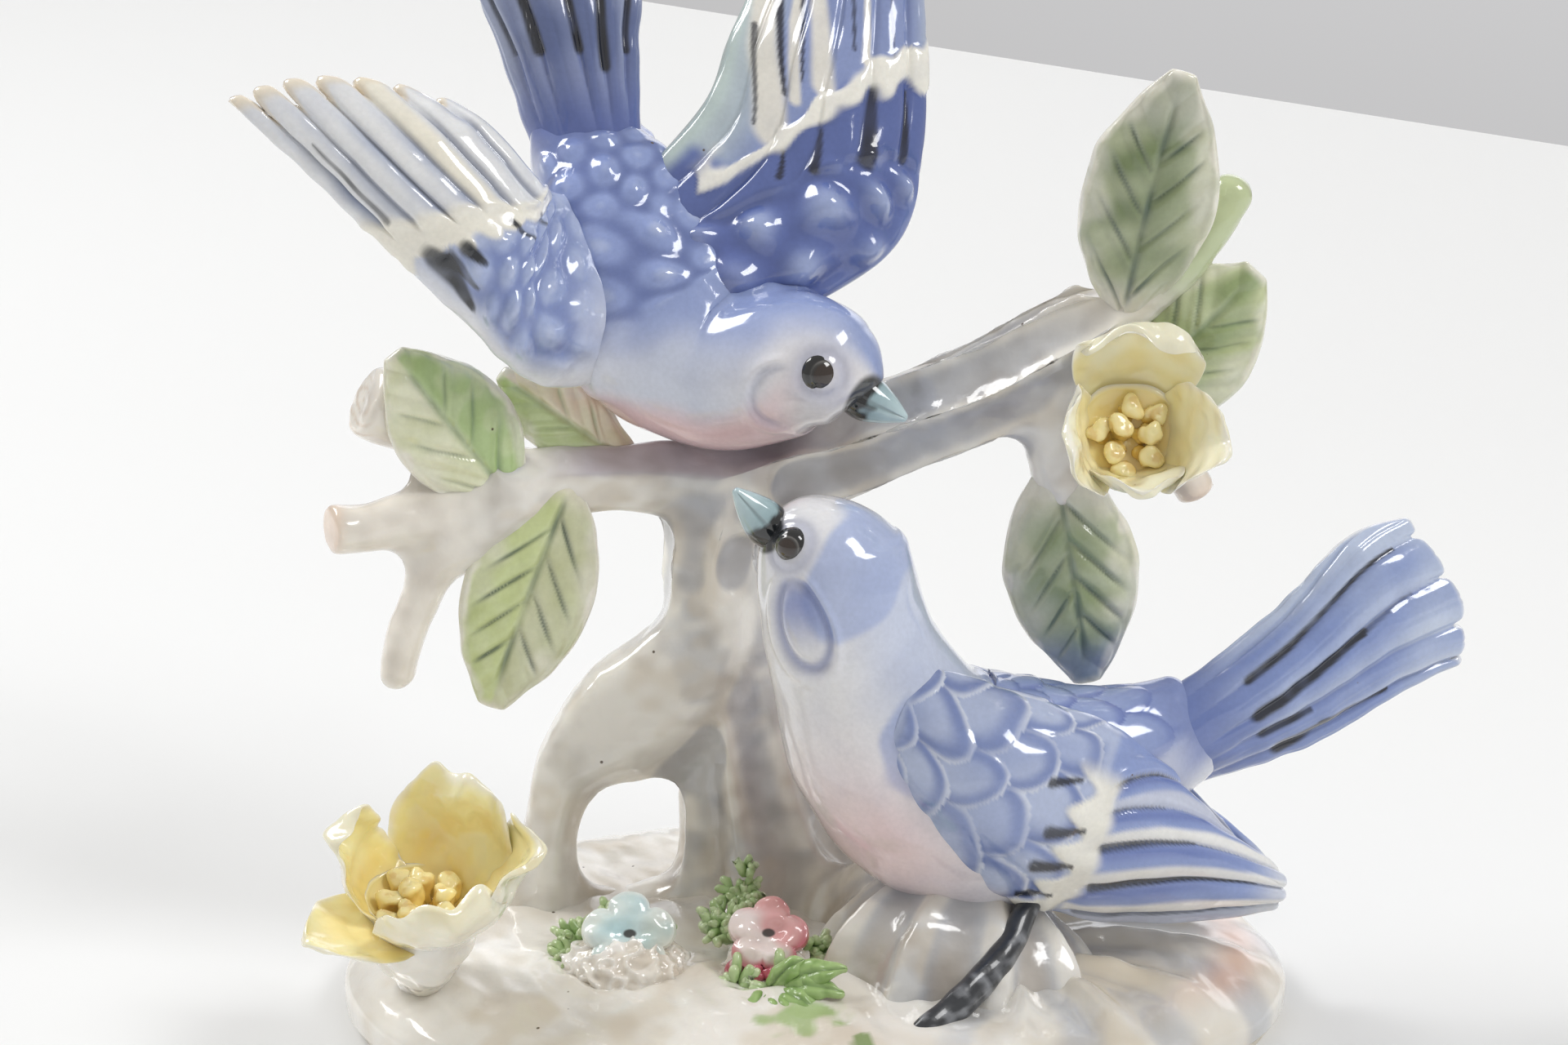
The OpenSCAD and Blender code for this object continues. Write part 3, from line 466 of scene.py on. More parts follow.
def bark():
    """Trunk, looping limb, branches, stubs and rock as sweeps, fused by a voxel skin, relaxed, then
    raised by wandering lumps; colour follows height, hollows (a point against the mean of its
    neighbours) and wandering."""
    sweeps = [
        # trunk
        limb([[-4.5, 13.5, 3.5], [-5.2, 13.6, 7], [-6, 14, 11.5], [-6.9, 15, 17], [-8.7, 16, 25.5],
              [-10.4, 16, 35.4], [-11.8, 16, 46], [-11.9, 16, 54], [-9.1, 16, 63.5]],
             [18.5, 14.2, 11.2, 9.2, 7.6, 6.3, 5.6, 5.7, 6.6],
             [17, 13.4, 10.8, 9, 7.5, 6.2, 5.6, 5.6, 6.2], 7, 0.10, 2.1),
        # limb that loops down to the left
        limb([[-35, 8.5, 3], [-33.6, 9, 9], [-32.3, 9.5, 19], [-29.6, 10, 27], [-23.2, 12, 32],
              [-16, 13.5, 37], [-12, 14.6, 44], [-10.8, 15.6, 52]],
             [10, 6.2, 3.6, 5, 8, 8.2, 6.6, 5.2], [9, 5.8, 3.7, 4.4, 5.6, 6.2, 6.2, 5.4], 5, 0.04),
        # left branch
        limb([[-5, 16, 62], [-15, 15.5, 62.8], [-23, 14, 63.3], [-34, 12, 63], [-44, 10, 60.5]],
             [6.4, 4.8, 4.1, 4.2, 3.4], None, 5, 0.06, 1.0),
        # right branch
        limb([[-10, 16, 60.5], [-2, 16.2, 64.2], [4, 16, 66.5], [13, 14, 71], [22, 12, 75.5],
              [31, 10, 81.7], [38, 10, 86]], [6.6, 6, 5.9, 5.6, 5.5, 5, 3.5],
             [5.8, 5.7, 5.8, 5.6, 5.2, 4.6, 3.4], 6, 0.16, 3.5),
        # fork behind the upper flower
        limb([[31, 10.5, 82], [30.5, 11, 74.2], [30, 11, 67], [31.3, 11, 60]], [5.6, 4.4, 3.6, 2.2],
             [4.2, 3.6, 3, 2]),
        # upper and middle stub on the left
        limb([[-36.5, 14, 64], [-46, 13, 70], [-54, 10, 74.5]], [3.2, 4.4, 4.6], cut=True),
        limb([[-40, 10.8, 61.3], [-51, 7, 59.8], [-58, 4, 60]], [3.6, 3.2, 3.4], cut=True),
        # hanging twig on the left
        limb([[-42, 10, 61], [-47.5, 9, 50.5], [-50, 8, 43], [-50.8, 7, 38]], [3.9, 2.7, 2.5, 2.6]),
        # budding stub
        limb([[34.5, 10, 83], [43.5, 10, 90], [48.5, 11, 96.5], [52, 12, 102]], [3.4, 2.8, 2.9, 3.1]),
        # lower stub on the right
        limb([[32.5, 10, 80], [40, 10, 73.5], [45, 12, 66.7], [47.7, 12, 61.5]],
             [3.2, 2.6, 2.6, 2.7], cut=True),
        # grooved rock and its root towards the trunk
        limb([[18, -10, 4], [18, -10, 8], [19, -8, 16], [20, -6, 21]], [19.5, 17, 13.5, 10.5],
             [16.5, 14, 10.5, 8], 9, 0.10, 1.4),
        limb([[4, 6, 4], [5, 4, 8], [7, 2, 12.5], [12, -2, 17]], [9, 6.5, 5, 4.5]),
        # webs of slip: under the left twig, along the mound, behind the perched bird
        limb([[-36, 11, 62.5], [-41, 10, 58], [-45, 9, 52.5]], [4.6, 4.2, 2.4]),
        limb([[-34, 9, 7], [-28, 10, 5.2], [-20, 11.5, 5.2], [-10, 13, 7]], [6, 5.4, 5.4, 6.5]),
        limb([[-7, 17, 50], [-4, 17, 38], [-1, 17, 26], [1.5, 16, 14], [2.5, 15, 6]],
             [4, 4.3, 4.7, 5.2, 5.6]),
    ]
    points, quads, fans, count = [], [], [], 0
    for grid in sweeps:
        q, f = faces_of(*grid.shape[:2], False)
        points += [grid.reshape(-1, 3), grid[[0, -1]].mean(1)]
        quads.append(q + count)
        fans.append(f + count)
        count += grid.shape[0] * grid.shape[1] + 2
    points = np.concatenate(points) + TREE
    rough = into_mesh("bark_rough", points, np.concatenate(quads), np.concatenate(fans),
                      np.ones_like(points))
    shell = bpy.data.objects.new("bark_rough", rough)
    bpy.context.scene.collection.objects.link(shell)
    skin = shell.modifiers.new("fuse", "REMESH")
    skin.mode, skin.voxel_size = "VOXEL", 0.55 * MM
    fused = bpy.data.meshes.new_from_object(shell.evaluated_get(bpy.context.evaluated_depsgraph_get()))
    bpy.data.objects.remove(shell)
    p = np.zeros(len(fused.vertices) * 3, np.float32)
    fused.vertices.foreach_get("co", p)
    p = p.reshape(-1, 3).astype(float) / MM
    q = np.zeros(len(fused.loops), np.int32)
    fused.loops.foreach_get("vertex_index", q)
    q = q.reshape(-1, 4)
    ends = np.concatenate([np.c_[q[:, i], q[:, (i + 1) % 4]] for i in range(4)])
    ends = np.unique(np.sort(ends, 1), axis=0)
    share = 1 / np.maximum(np.bincount(ends.ravel(), minlength=len(p)), 1)[:, None]

    def relax(values, times):
        """Each value moved 0.55 of the way to the mean of its neighbours, so many times."""
        for _ in range(times):
            total = np.stack([np.bincount(ends[:, 0], values[ends[:, 1], k], len(p))
                              + np.bincount(ends[:, 1], values[ends[:, 0], k], len(p))
                              for k in range(values.shape[1])], -1)
            values = values * 0.45 + total * share * 0.55
        return values

    def outward(p):
        """Mean direction of the faces that meet at each point."""
        corner = p[q]
        flat = np.cross(corner[:, 2] - corner[:, 0], corner[:, 3] - corner[:, 1])
        return unit(np.stack([np.bincount(q.ravel(), np.repeat(flat[:, k], 4), len(p))
                              for k in range(3)], -1))

    # the thick skin drawn back by the same measure leaves a fillet in each joint
    p = relax(p, 8)
    for _ in range(4):
        p = relax(p - outward(p) * FILLET / 4, 3)
    broad = relax(p, 26)
    n = outward(p)
    hollow = np.einsum("ij,ij->i", broad - p, n)
    z = p[:, 2]
    p = p + n * (0.14 * wander(p, 9, 3) + 0.03 * wander(p, 2.6, 4))[:, None]
    paint = coat("#f3f0e9", p)
    wash = wander(p * (1, 1, 0.55), 11, 8)
    fine = wander(p, 4, 9)
    trunk = rise(p[:, 0], -21, -14) * rise(p[:, 0], 30, 12)
    paint = mix(paint, "#b4b8c0", np.clip(0.55 * rise(wash + 0.4 * fine, -0.1, 1.0) * (0.2 + 0.8 * trunk)
                                         * (1 - 0.5 * rise(z, 62, 70)), 0, 1))
    paint = mix(paint, "#d9cdb9", 0.5 * rise(wander(p, 14, 12) + 0.3 * fine, 0.1, 1.0))
    paint = mix(paint, "#9499a8", np.clip(rise(hollow, 0.02, 0.16) * 0.5, 0, 1) * rise(z, 14, 24))
    paint = mix(paint, "#a3abbb", 0.55 * rise(hollow, -0.02, 0.1) * rise(p[:, 0], 2, 8) * rise(z, 27, 20))
    paint = mix(paint, "#b9a993", np.clip(rise(hollow, 0.04, 0.2) * 0.5, 0, 1) * rise(z, 22, 12))
    # painted shade: grey-purple on the upward faces of the branches just under the diving bird
    paint = mix(paint, "#b0acba", 0.7 * near(z, 66, 4) * rise(p[:, 0], -34, -26) * rise(p[:, 0], 4, -6)
                * rise(n[:, 2], -0.3, 0.6))
    paint = mix(paint, "#f1ebe1", 0.8 * rise(p[:, 0], -38, -46))
    cut_middle = np.array([-54, 10, 74.5]) + TREE
    ring = np.linalg.norm((p - cut_middle) * (1, 0.3, 1), axis=1)
    paint = mix(paint, "#c9ad90", 0.5 * rise(np.cos(ring * 6.28 / 1.25), 0.2, 1) * rise(ring, 4.6, 3.6)
                * rise(p[:, 0], -52, -54.5))
    paint = mix(paint, "#e6c9ae", 0.7 * near(p[:, 0], 48, 3) * near(z, 61.5, 3.2))
    paint = mix(paint, "#e7c2a4", 0.5 * rise(np.linalg.norm(p - (-58.5, 4, 60) - TREE, axis=1), 4, 2.5))
    paint = mix(paint, "#b9c896", 0.85 * rise(p[:, 0], 39, 44) * rise(z, 84, 92))
    paint = mix(paint, "#ece6da", rise(z, 82, 90) * rise(p[:, 0], 42, 36) * 0.8)
    mesh = into_mesh("tree", p, q, np.zeros((0, 3), int), np.clip(paint, 0, 1))
    finish_piece("tree", mesh, BARK,
                 ["tree_trunk", "looping_limb", "left_branch", "right_branch", "right_fork",
                  "upper_left_stub", "middle_left_stub", "lower_left_twig", "bud_stub",
                  "lower_right_stub", "rock"])


def painted_twig():
    """Brushed black twig: an oval sweep with knuckles, its radius swelling with wandering."""
    grid, t, a = sweep([[27, -13, 20], [24, -19, 15.5], [18.5, -25.5, 11.5], [11.5, -30.5, 7.5]],
                       [1.6, 1.7, 1.9, 1.6], [1.4, 1.5, 1.5, 1.1], rows=80, sides=40, ends=(0.05, 0.08))
    grid = lift(grid, 0.10 * wander(grid, 4.5, 21))
    paint = mix(coat("#34373d", grid), "#8a8d93",
                0.8 * rise(wander(grid, 3.0, 22), 0.1, 1.1))
    piece("twig_stroke", [(grid + GROUND, paint)], BRUSHED, ["painted_twig"])


# ---- mound and foot ----

def mound():
    """Oval mound. Its outline is the half length and half depth times 1 + 0.02 cos(3 a + 40 deg);
    its height follows a rounded profile, with shell-like folds fanning out on the right side and
    wandering lumps; the bottom is closed flat inside the foot."""
    half_length, half_depth, foot, tall_above_foot = 58, 42, 2.2, 8.5
    rows, sides = 150, 420
    k = np.linspace(0, 1, rows)
    share = along([1, 1, 0.985, 0.95, 0.86, 0.7, 0.42, 0.1, 0], k)
    tall = along([0, 0.26, 0.42, 0.58, 0.77, 0.9, 0.97, 1, 1], k)
    a = np.arange(sides) * 2 * math.pi / sides
    share, a = np.meshgrid(share, a, indexing="ij")
    tall = np.repeat(tall[:, None], sides, 1)
    bulge = 1 + 0.02 * np.cos(3 * a + math.radians(40))
    x = half_length * share * bulge * np.cos(a)
    y = half_depth * share * bulge * np.sin(a)
    flat = np.stack([x, y, 0 * x], -1)
    z = foot + tall_above_foot * tall
    fan = np.arctan2(y + 9, x - 22)
    far = np.hypot(y + 9, x - 22)
    right = rise(x, 10, 24) * rise(far, 5, 14) * rise(y, 26, 6)
    fold = np.cos(11 * fan + 0.16 * far + 0.6 * wander(flat, 20, 30))
    z = z + right * tall * (0.75 * fold + 0.25 * np.cos(22 * fan + 0.3 * far))
    z = z + tall * (0.32 * wander(flat, 13, 31) + 0.1 * wander(flat, 4, 32))
    # a little dam of slip round each blossom's heap
    for foot in ((-22, -12.5), (-5, -13)):
        ring = np.hypot(x - foot[0], y - foot[1])
        z = z + tall * 0.55 * near(ring + 0.5 * wander(flat, 5, 33), 9, 1.3) * rise(y, -8, -14)
    grid = np.stack([x, y, z], -1)
    spot = wander(flat, 15, 34) + 0.4 * wander(flat, 5, 35)
    paint = mix(coat("#eeebe4", grid), "#d6cab5", 0.5 * rise(spot, 0.1, 1.2))
    paint = mix(paint, "#b2b9c6", 0.6 * right * rise(fold, 0.2, -0.9))
    paint = mix(paint, "#e9dcc4", 0.7 * near(x, 37, 9) * near(y, -14, 9))
    paint = mix(paint, "#e8b79c", 0.65 * near(share, 0.9, 0.05) * rise(x, 34, 46) * rise(y, 24, 4)
                * rise(y, -26, -10))
    paint = mix(paint, "#c3b39b", 0.45 * near(x, -21, 6) * near(y, 12, 9))
    paint = mix(paint, "#7fa05c", 0.9 * rise(np.hypot((x - 6.2) / 1.35, (y + 33.6) / 1.9), 1.1, 0.85))
    paint = mix(paint, "#9dbb74", 0.8 * rise(np.hypot((x + 0.8) / 4.4, (y + 27.5) / 4.0)
                                             + 0.25 * wander(flat, 4, 36), 1.1, 0.6))
    bottom = grid[:1].copy()
    bottom = np.concatenate([bottom * (0.5, 0.5, 1), bottom * (0.97, 0.97, 1)])
    grid = np.concatenate([bottom, grid])
    paint = np.concatenate([paint[:1], paint[:1], paint])
    piece("mound", [(grid + GROUND, paint)], PORCELAIN, ["base_mound"])


# ---- leaves ----

def leaf(name, foot, tip, length, width, bend, facing, tint, vein="#38594a", one_side=0.0, curl=0.0,
         lean=0.0, veins=(0.18, 0.36, 0.54, 0.7), strength=0.75):
    """Leaf blade from its foot towards its tip: the half width follows seven stations from a thick
    foot to a narrow tip, and the section hollows by cos a squared. The midrib and the side veins,
    which leave it at 39 degrees, are pressed in and painted, and the blade swells between them."""
    foot, tip = np.array(foot, float), np.array(tip, float)
    facing = np.array(facing, float)
    ahead = unit(tip - foot)
    across = np.cross(ahead, unit(facing))
    path = np.array([foot + ahead * length * s + unit(facing) * bend * np.sin(math.pi * s * 0.9)
                     + across * lean * np.sin(math.pi * s) + across * curl * s**3
                     for s in (0, 0.17, 0.34, 0.5, 0.67, 0.84, 1.0)])
    w = width / 2
    halves = [1.3, 0.68 * w, 0.96 * w, 1.03 * w, 0.92 * w, 0.6 * w, 0.16 * w]
    grid, t, a = sweep(path, halves,
                       [1.2, 1.2, 1.15, 1.1, 1.05, 0.9, 0.5], facing, rows=150, sides=150, cup=0.10,
                       ends=(0.04, 0.02))
    x = np.cos(a)
    half = along(halves, t)
    off = np.abs(x) * half
    reach = t * length - off * 1.25
    seam = np.zeros_like(t)
    for v in veins:
        shift = 0.03 * length * np.where(x > 0, 1, -0.8)
        seam = np.maximum(seam, near(reach, (v - 0.1) * length + shift, 0.4)
                          * rise(off, 0.85 * half, 0.5 * half))
    rib = near(off, 0, 0.42) * rise(t, 0.06, 0.12) * rise(t, 0.93, 0.8)
    pillow = 0.30 * np.abs(np.sin(math.pi * reach / (0.17 * length)))
    height = pillow * rise(np.abs(x), 0.97, 0.75) - 0.45 * np.maximum(seam, rib) + 0.12 * wander(grid, 5, 40)
    height = height * np.where(np.sin(a) > 0, 1, 0.6) + 0.25 * near(np.abs(x), 0.93, 0.05)
    grid = lift(grid, height * rise(t, 0, 0.08) * rise(t, 1, 0.97))
    paint = tint(x, t, grid)
    edge = np.maximum(rise(np.abs(x) + 0.05 * wander(grid, 4, 41), 0.84, 0.97),
                      0.55 * rise(np.abs(x) + 0.15 * wander(grid, 7, 45), 0.55, 0.9))
    paint = mix(paint, "#f0ede2", np.maximum(edge, rise(t, 0.93, 0.99)) * 0.9)
    dark = np.maximum(rib * 0.8, seam * rise(off, 0, 0.25 * half + 0.1))
    dark = dark * (1 - one_side * rise(x, -0.1, 0.1))
    dark = dark * (0.7 + 0.3 * wander(grid, 6, 42))
    paint = mix(paint, vein, np.clip(dark, 0, 1) * strength)
    return grid, paint


def leaves():
    """Six leaves, each from its foot on the branch to its tip."""
    def sage(light, deep, foot, tipped=None):
        """Green that fades to white towards the foot, deeper along the midrib."""
        def tint(x, t, grid):
            c = mix(coat(light, grid), deep,
                    np.clip(0.85 * rise(np.abs(x), 0.8, 0.1) + 0.25 * wander(grid, 6, 43), 0, 1))
            c = mix(c, "#efece1", rise(t, foot, foot * 0.25))
            if tipped:
                c = mix(c, tipped, 0.85 * rise(t, 0.68, 0.9))
            return c
        return tint

    def two_sided(left, right):
        """One half of the blade in one colour, the other half in another."""
        def tint(x, t, grid):
            c = mix(coat(left, grid), right, rise(x, 0.12, -0.12))
            c = mix(c, "#dfe6c0", 0.3 * rise(wander(grid, 5, 44), 0, 1))
            return mix(c, "#efe9da", rise(t, 0.14, 0.02))
        return tint

    made = [
        ("upright_leaf", leaf("u", [37.5, 8.5, 85], [43, 5, 117], 32, 15.6, 1.2, [0, -0.97, 0.25],
                              sage("#b0b898", "#78885e", 0.22, "#bcbeb2"), "#2f4f45", curl=1.2)),
        ("outer_leaf", leaf("o", [35.5, 11, 72.5], [54.5, 10, 90], 26, 17.5, 1, [0, -1, 0.1],
                            sage("#c6cfa6", "#9aab7a", 0.3), "#5f7f68", curl=-1.0, strength=0.5)),
        ("right_hanging_leaf", leaf("r", [30, 11, 67], [34.8, 9.5, 37.4], 29, 16, 1.5, [0, -1, 0],
                                    sage("#c5ccb0", "#93a478", 0.34, "#8e9bb4"), "#4f6a5a",
                                    veins=(0.3, 0.46, 0.62, 0.78))),
        ("upper_left_leaf", leaf("l", [-36, 11, 61], [-50.5, 7, 82], 25, 14.5, 1.5, [0.1, -1, 0.2],
                                 two_sided("#b3cb8e", "#eceed2"), "#6f9070",
                                 veins=(0.22, 0.44, 0.66), strength=0.5)),
        ("inner_leaf", leaf("i", [-22, 16, 64.5], [-40, 14, 78.5], 20, 9.5, 0.8, [0, -1, 0.3],
                            two_sided("#efe4cb", "#c6d69c"), "#9db07a", veins=(0.3, 0.55), strength=0.4)),
        ("left_hanging_leaf", leaf("h", [-29, 10.5, 64], [-40, 5, 36.8], 29.5, 15.6, 1.5, [0, -1, 0],
                                   two_sided("#d0dba2", "#cfd2b0"), "#23473f",
                                   veins=(0.26, 0.42, 0.58, 0.74), curl=-0.8)),
    ]
    for name, (grid, paint) in made:
        piece(name + "_blade", [(grid + TREE, paint)], LEAF, [name])


# ---- birds ----

def body(path, widths, depths, facing, shift, ends):
    grid, t, a = sweep(path, widths, depths, facing, rows=300, sides=240, ends=ends)
    return grid + shift, t, a, travelled(path, t), along(widths, t)


# Nets of points under the plates: wings and fanned tails, root to tip
NEAR_WING = [[[-18, 15.5, 77.5], [-20, 12.5, 84.5], [-22, 15.5, 90.5], [-25, 21.5, 96.5]],
       [[-31.5, 7.5, 77.2], [-33, 2.5, 86.1], [-32.4, 6.5, 92.7], [-31, 15.5, 99]],
       [[-41.5, 2.5, 87.1], [-38.2, 0.5, 93.1], [-35.4, 3.5, 97.7], [-33.3, 9.5, 102.5]],
       [[-54, 3.5, 99.5], [-49.5, 2.5, 103.5], [-43, 4.5, 106.7], [-37, 9.5, 107.5]],
       [[-68.4, 5.5, 112.5], [-61.5, 6.5, 114.5], [-51.7, 8.5, 113.9], [-41.5, 11.5, 110]]]
FAR_WING = [[[-9, 13, 80.8], [-13, 13, 85.8], [-18, 17, 90.8], [-22, 22, 97.8]],
       [[9.4, 19, 90.2], [2.9, 17, 97.3], [-5, 21, 101.8], [-12.9, 25, 107.8]],
       [[13.8, 24, 101.6], [6.8, 23, 108.8], [-1.5, 26, 113.3], [-9.9, 29, 114.8]],
       [[14.2, 31, 119.3], [8.4, 31, 122.3], [1.5, 32, 123.1], [-6.2, 34, 121.8]],
       [[12.7, 38, 134.6], [9.4, 38, 137.1], [5.5, 38, 136.6], [0, 38, 132.1]]]
DIVING_FAN = [
    [[-33, 28, 99.9], [-29, 26, 99.9], [-24.5, 26, 99.9], [-20.5, 27, 100.9]],
    [[-38, 31, 114.4], [-32.3, 29, 115.3], [-26.6, 29, 115.3], [-21, 30, 114.6]],
    [[-42.5, 34, 124.9], [-35, 33, 126.5], [-27.3, 33, 126.5], [-20, 34, 124.9]],
    [[-45.5, 36, 131.9], [-37, 36, 135.2], [-27.3, 36, 135.2], [-19.5, 36, 132.4]]]
PERCHED_FAN = [
    [[42, 0, 38.5], [42, -2, 36], [42, -2, 32.5], [43, 0, 28.5]],
    [[56.8, 5, 49.2], [58, 3, 44.9], [59, 3, 39.1], [60.6, 5, 31.9]],
    [[65.8, 8, 57.7], [69, 7, 52.3], [71.4, 7, 45.1], [72, 8, 37.3]],
    [[73, 11, 59.2], [77, 11, 53.3], [80.3, 11, 46.9], [80.3, 11, 40.3]]]


def gap(grid, nets, shift):
    """Distance in mm from each point to the nearest of the plates laid over these nets, measured
    to 40 by 24 points on each."""
    v, u = np.meshgrid(np.linspace(0, 1, 40), np.linspace(0, 1, 24), indexing="ij")
    there = np.concatenate([through(net, u, v).reshape(-1, 3) for net in nets]) + shift
    here = grid.reshape(-1, 3)
    squares = (here**2).sum(1)[:, None] + (there**2).sum(1) - 2 * here @ there.T
    return np.sqrt(np.clip(squares.min(1), 0, None)).reshape(grid.shape[:2])


def diving_body():
    """Diving bird's trunk and head: an oval carried along its back line. Round bumps stand on its
    back, smaller towards the tail and fading out beside the wings, where the skin rises to them
    as slip would; a crescent is pressed in behind the eye. Blue on the back and
    crown, pale on the side, pink under the breast."""
    path = [[-29, 29, 107.8], [-27.4, 27, 102.8], [-25, 24, 97], [-21.6, 20.5, 89],
            [-17.3, 17.5, 81.4], [-10.4, 13.5, 77.3], [-0.6, 8.5, 79.6], [4.8, 6.2, 78.6],
            [8, 5.4, 76.8]]
    grid, t, a, s, r = body(path, [5.0, 7.2, 8.9, 11, 12.2, 10, 8.6, 6.2, 1.6],
                            [1.6, 4.4, 7.3, 9.6, 10.4, 9.6, 8.2, 6, 1.6], (0.2, -0.9, 0.4), DIVING,
                            (0.03, 0.02))
    back = np.radians(along([95, 98, 100, 105, 120, 150, 172, 178, 180], t))
    turn = (a - back + math.pi) % (2 * math.pi) - math.pi
    q = turn * r * 0.92 + 0.5 * wander(grid, 17, 48)
    s = s + 0.4 * wander(grid, 16, 49)
    bump, rim = beads(s, q + 0.6, 6.0)
    small, small_rim = beads(s, q, 4.4)
    use = rise(t, 0.36, 0.28)
    bump = bump * (1 - use) + small * use * 0.85
    rim = rim * (1 - use) + small_rim * use
    wings = gap(grid, [NEAR_WING, FAR_WING], DIVING)
    zone = rise(t, 0.05, 0.2) * rise(t, 0.52, 0.44) * rise(np.abs(turn), 1.5, 1.0)
    height = zone * (1.45 * bump - 0.6) * rise(wings, 2.2, 5.5) + 1.2 * near(wings, 1.0, 1.8)
    cheek = np.array([-3.0, -1.0, 77.2]) + DIVING
    d = np.linalg.norm((grid - cheek) * (1, 0.35, 1), axis=-1)
    behind = rise(grid[..., 0] - cheek[0], 1.0, -1.5) * rise(np.sin(a), 0, 0.4)
    crescent = near(d, 4.0, 0.55) * behind
    height = height + 0.35 * near(d, 4.9, 0.7) * behind
    height = height - 0.4 * crescent + 0.10 * wander(grid, 9, 50)
    eye = np.array([1.5, 1.2, 80.4]) + DIVING
    e = np.linalg.norm(grid - eye, axis=-1)
    height = height - 0.3 * near(e, 2.7, 0.6)
    grid = lift(grid, height)
    top = np.cos(turn)
    paint = mix(coat("#d9ddeb", grid), "#96a6d4", rise(top + 0.1 * wander(grid, 8, 51), 0.0, 0.85))
    paint = mix(paint, "#8fa0d2", zone * 0.85)
    paint = mix(paint, "#54659f", zone * rise(rim, 0.6, 1.0) * 0.85)
    paint = mix(paint, "#bcc8e6", zone * rise(bump, 0.7, 1.0) * 0.6)
    paint = mix(paint, "#5a6bab", 0.9 * rise(t, 0.2, 0.06) * rise(top, -0.5, 0.2))
    shoulder = rise(t, 0.5, 0.58) * rise(t, 0.74, 0.64)
    paint = mix(paint, "#d3daec", 0.7 * shoulder * rise(top, 0.95, 0.3))
    paint = mix(paint, "#e9e6e8", 0.9 * rise(t, 0.62, 0.8) * rise(top, 0.55, -0.1))
    paint = mix(paint, "#ecc5c6", 0.85 * rise(t, 0.40, 0.5) * rise(t, 0.84, 0.66) * rise(top, -0.15, -0.6))
    paint = mix(paint, "#9aa0c0", 0.5 * near(e, 2.6, 1.3) + 0.35 * crescent)
    beak = np.array([6.6, 4.4, 76.4]) + DIVING
    mask = np.linalg.norm((grid - beak) * (1.0, 0.6, 0.75), axis=-1)
    paint = mix(paint, "#1d2226", 0.95 * rise(mask, 3.1, 2.4))
    paint = mix(paint, "#f0ece6", 0.6 * rise(t, 0.4, 0.1) * rise(top, -0.3, -0.8))
    piece("diving_bird_trunk", [(grid, paint)], FEATHER, ["diving_bird_body"])


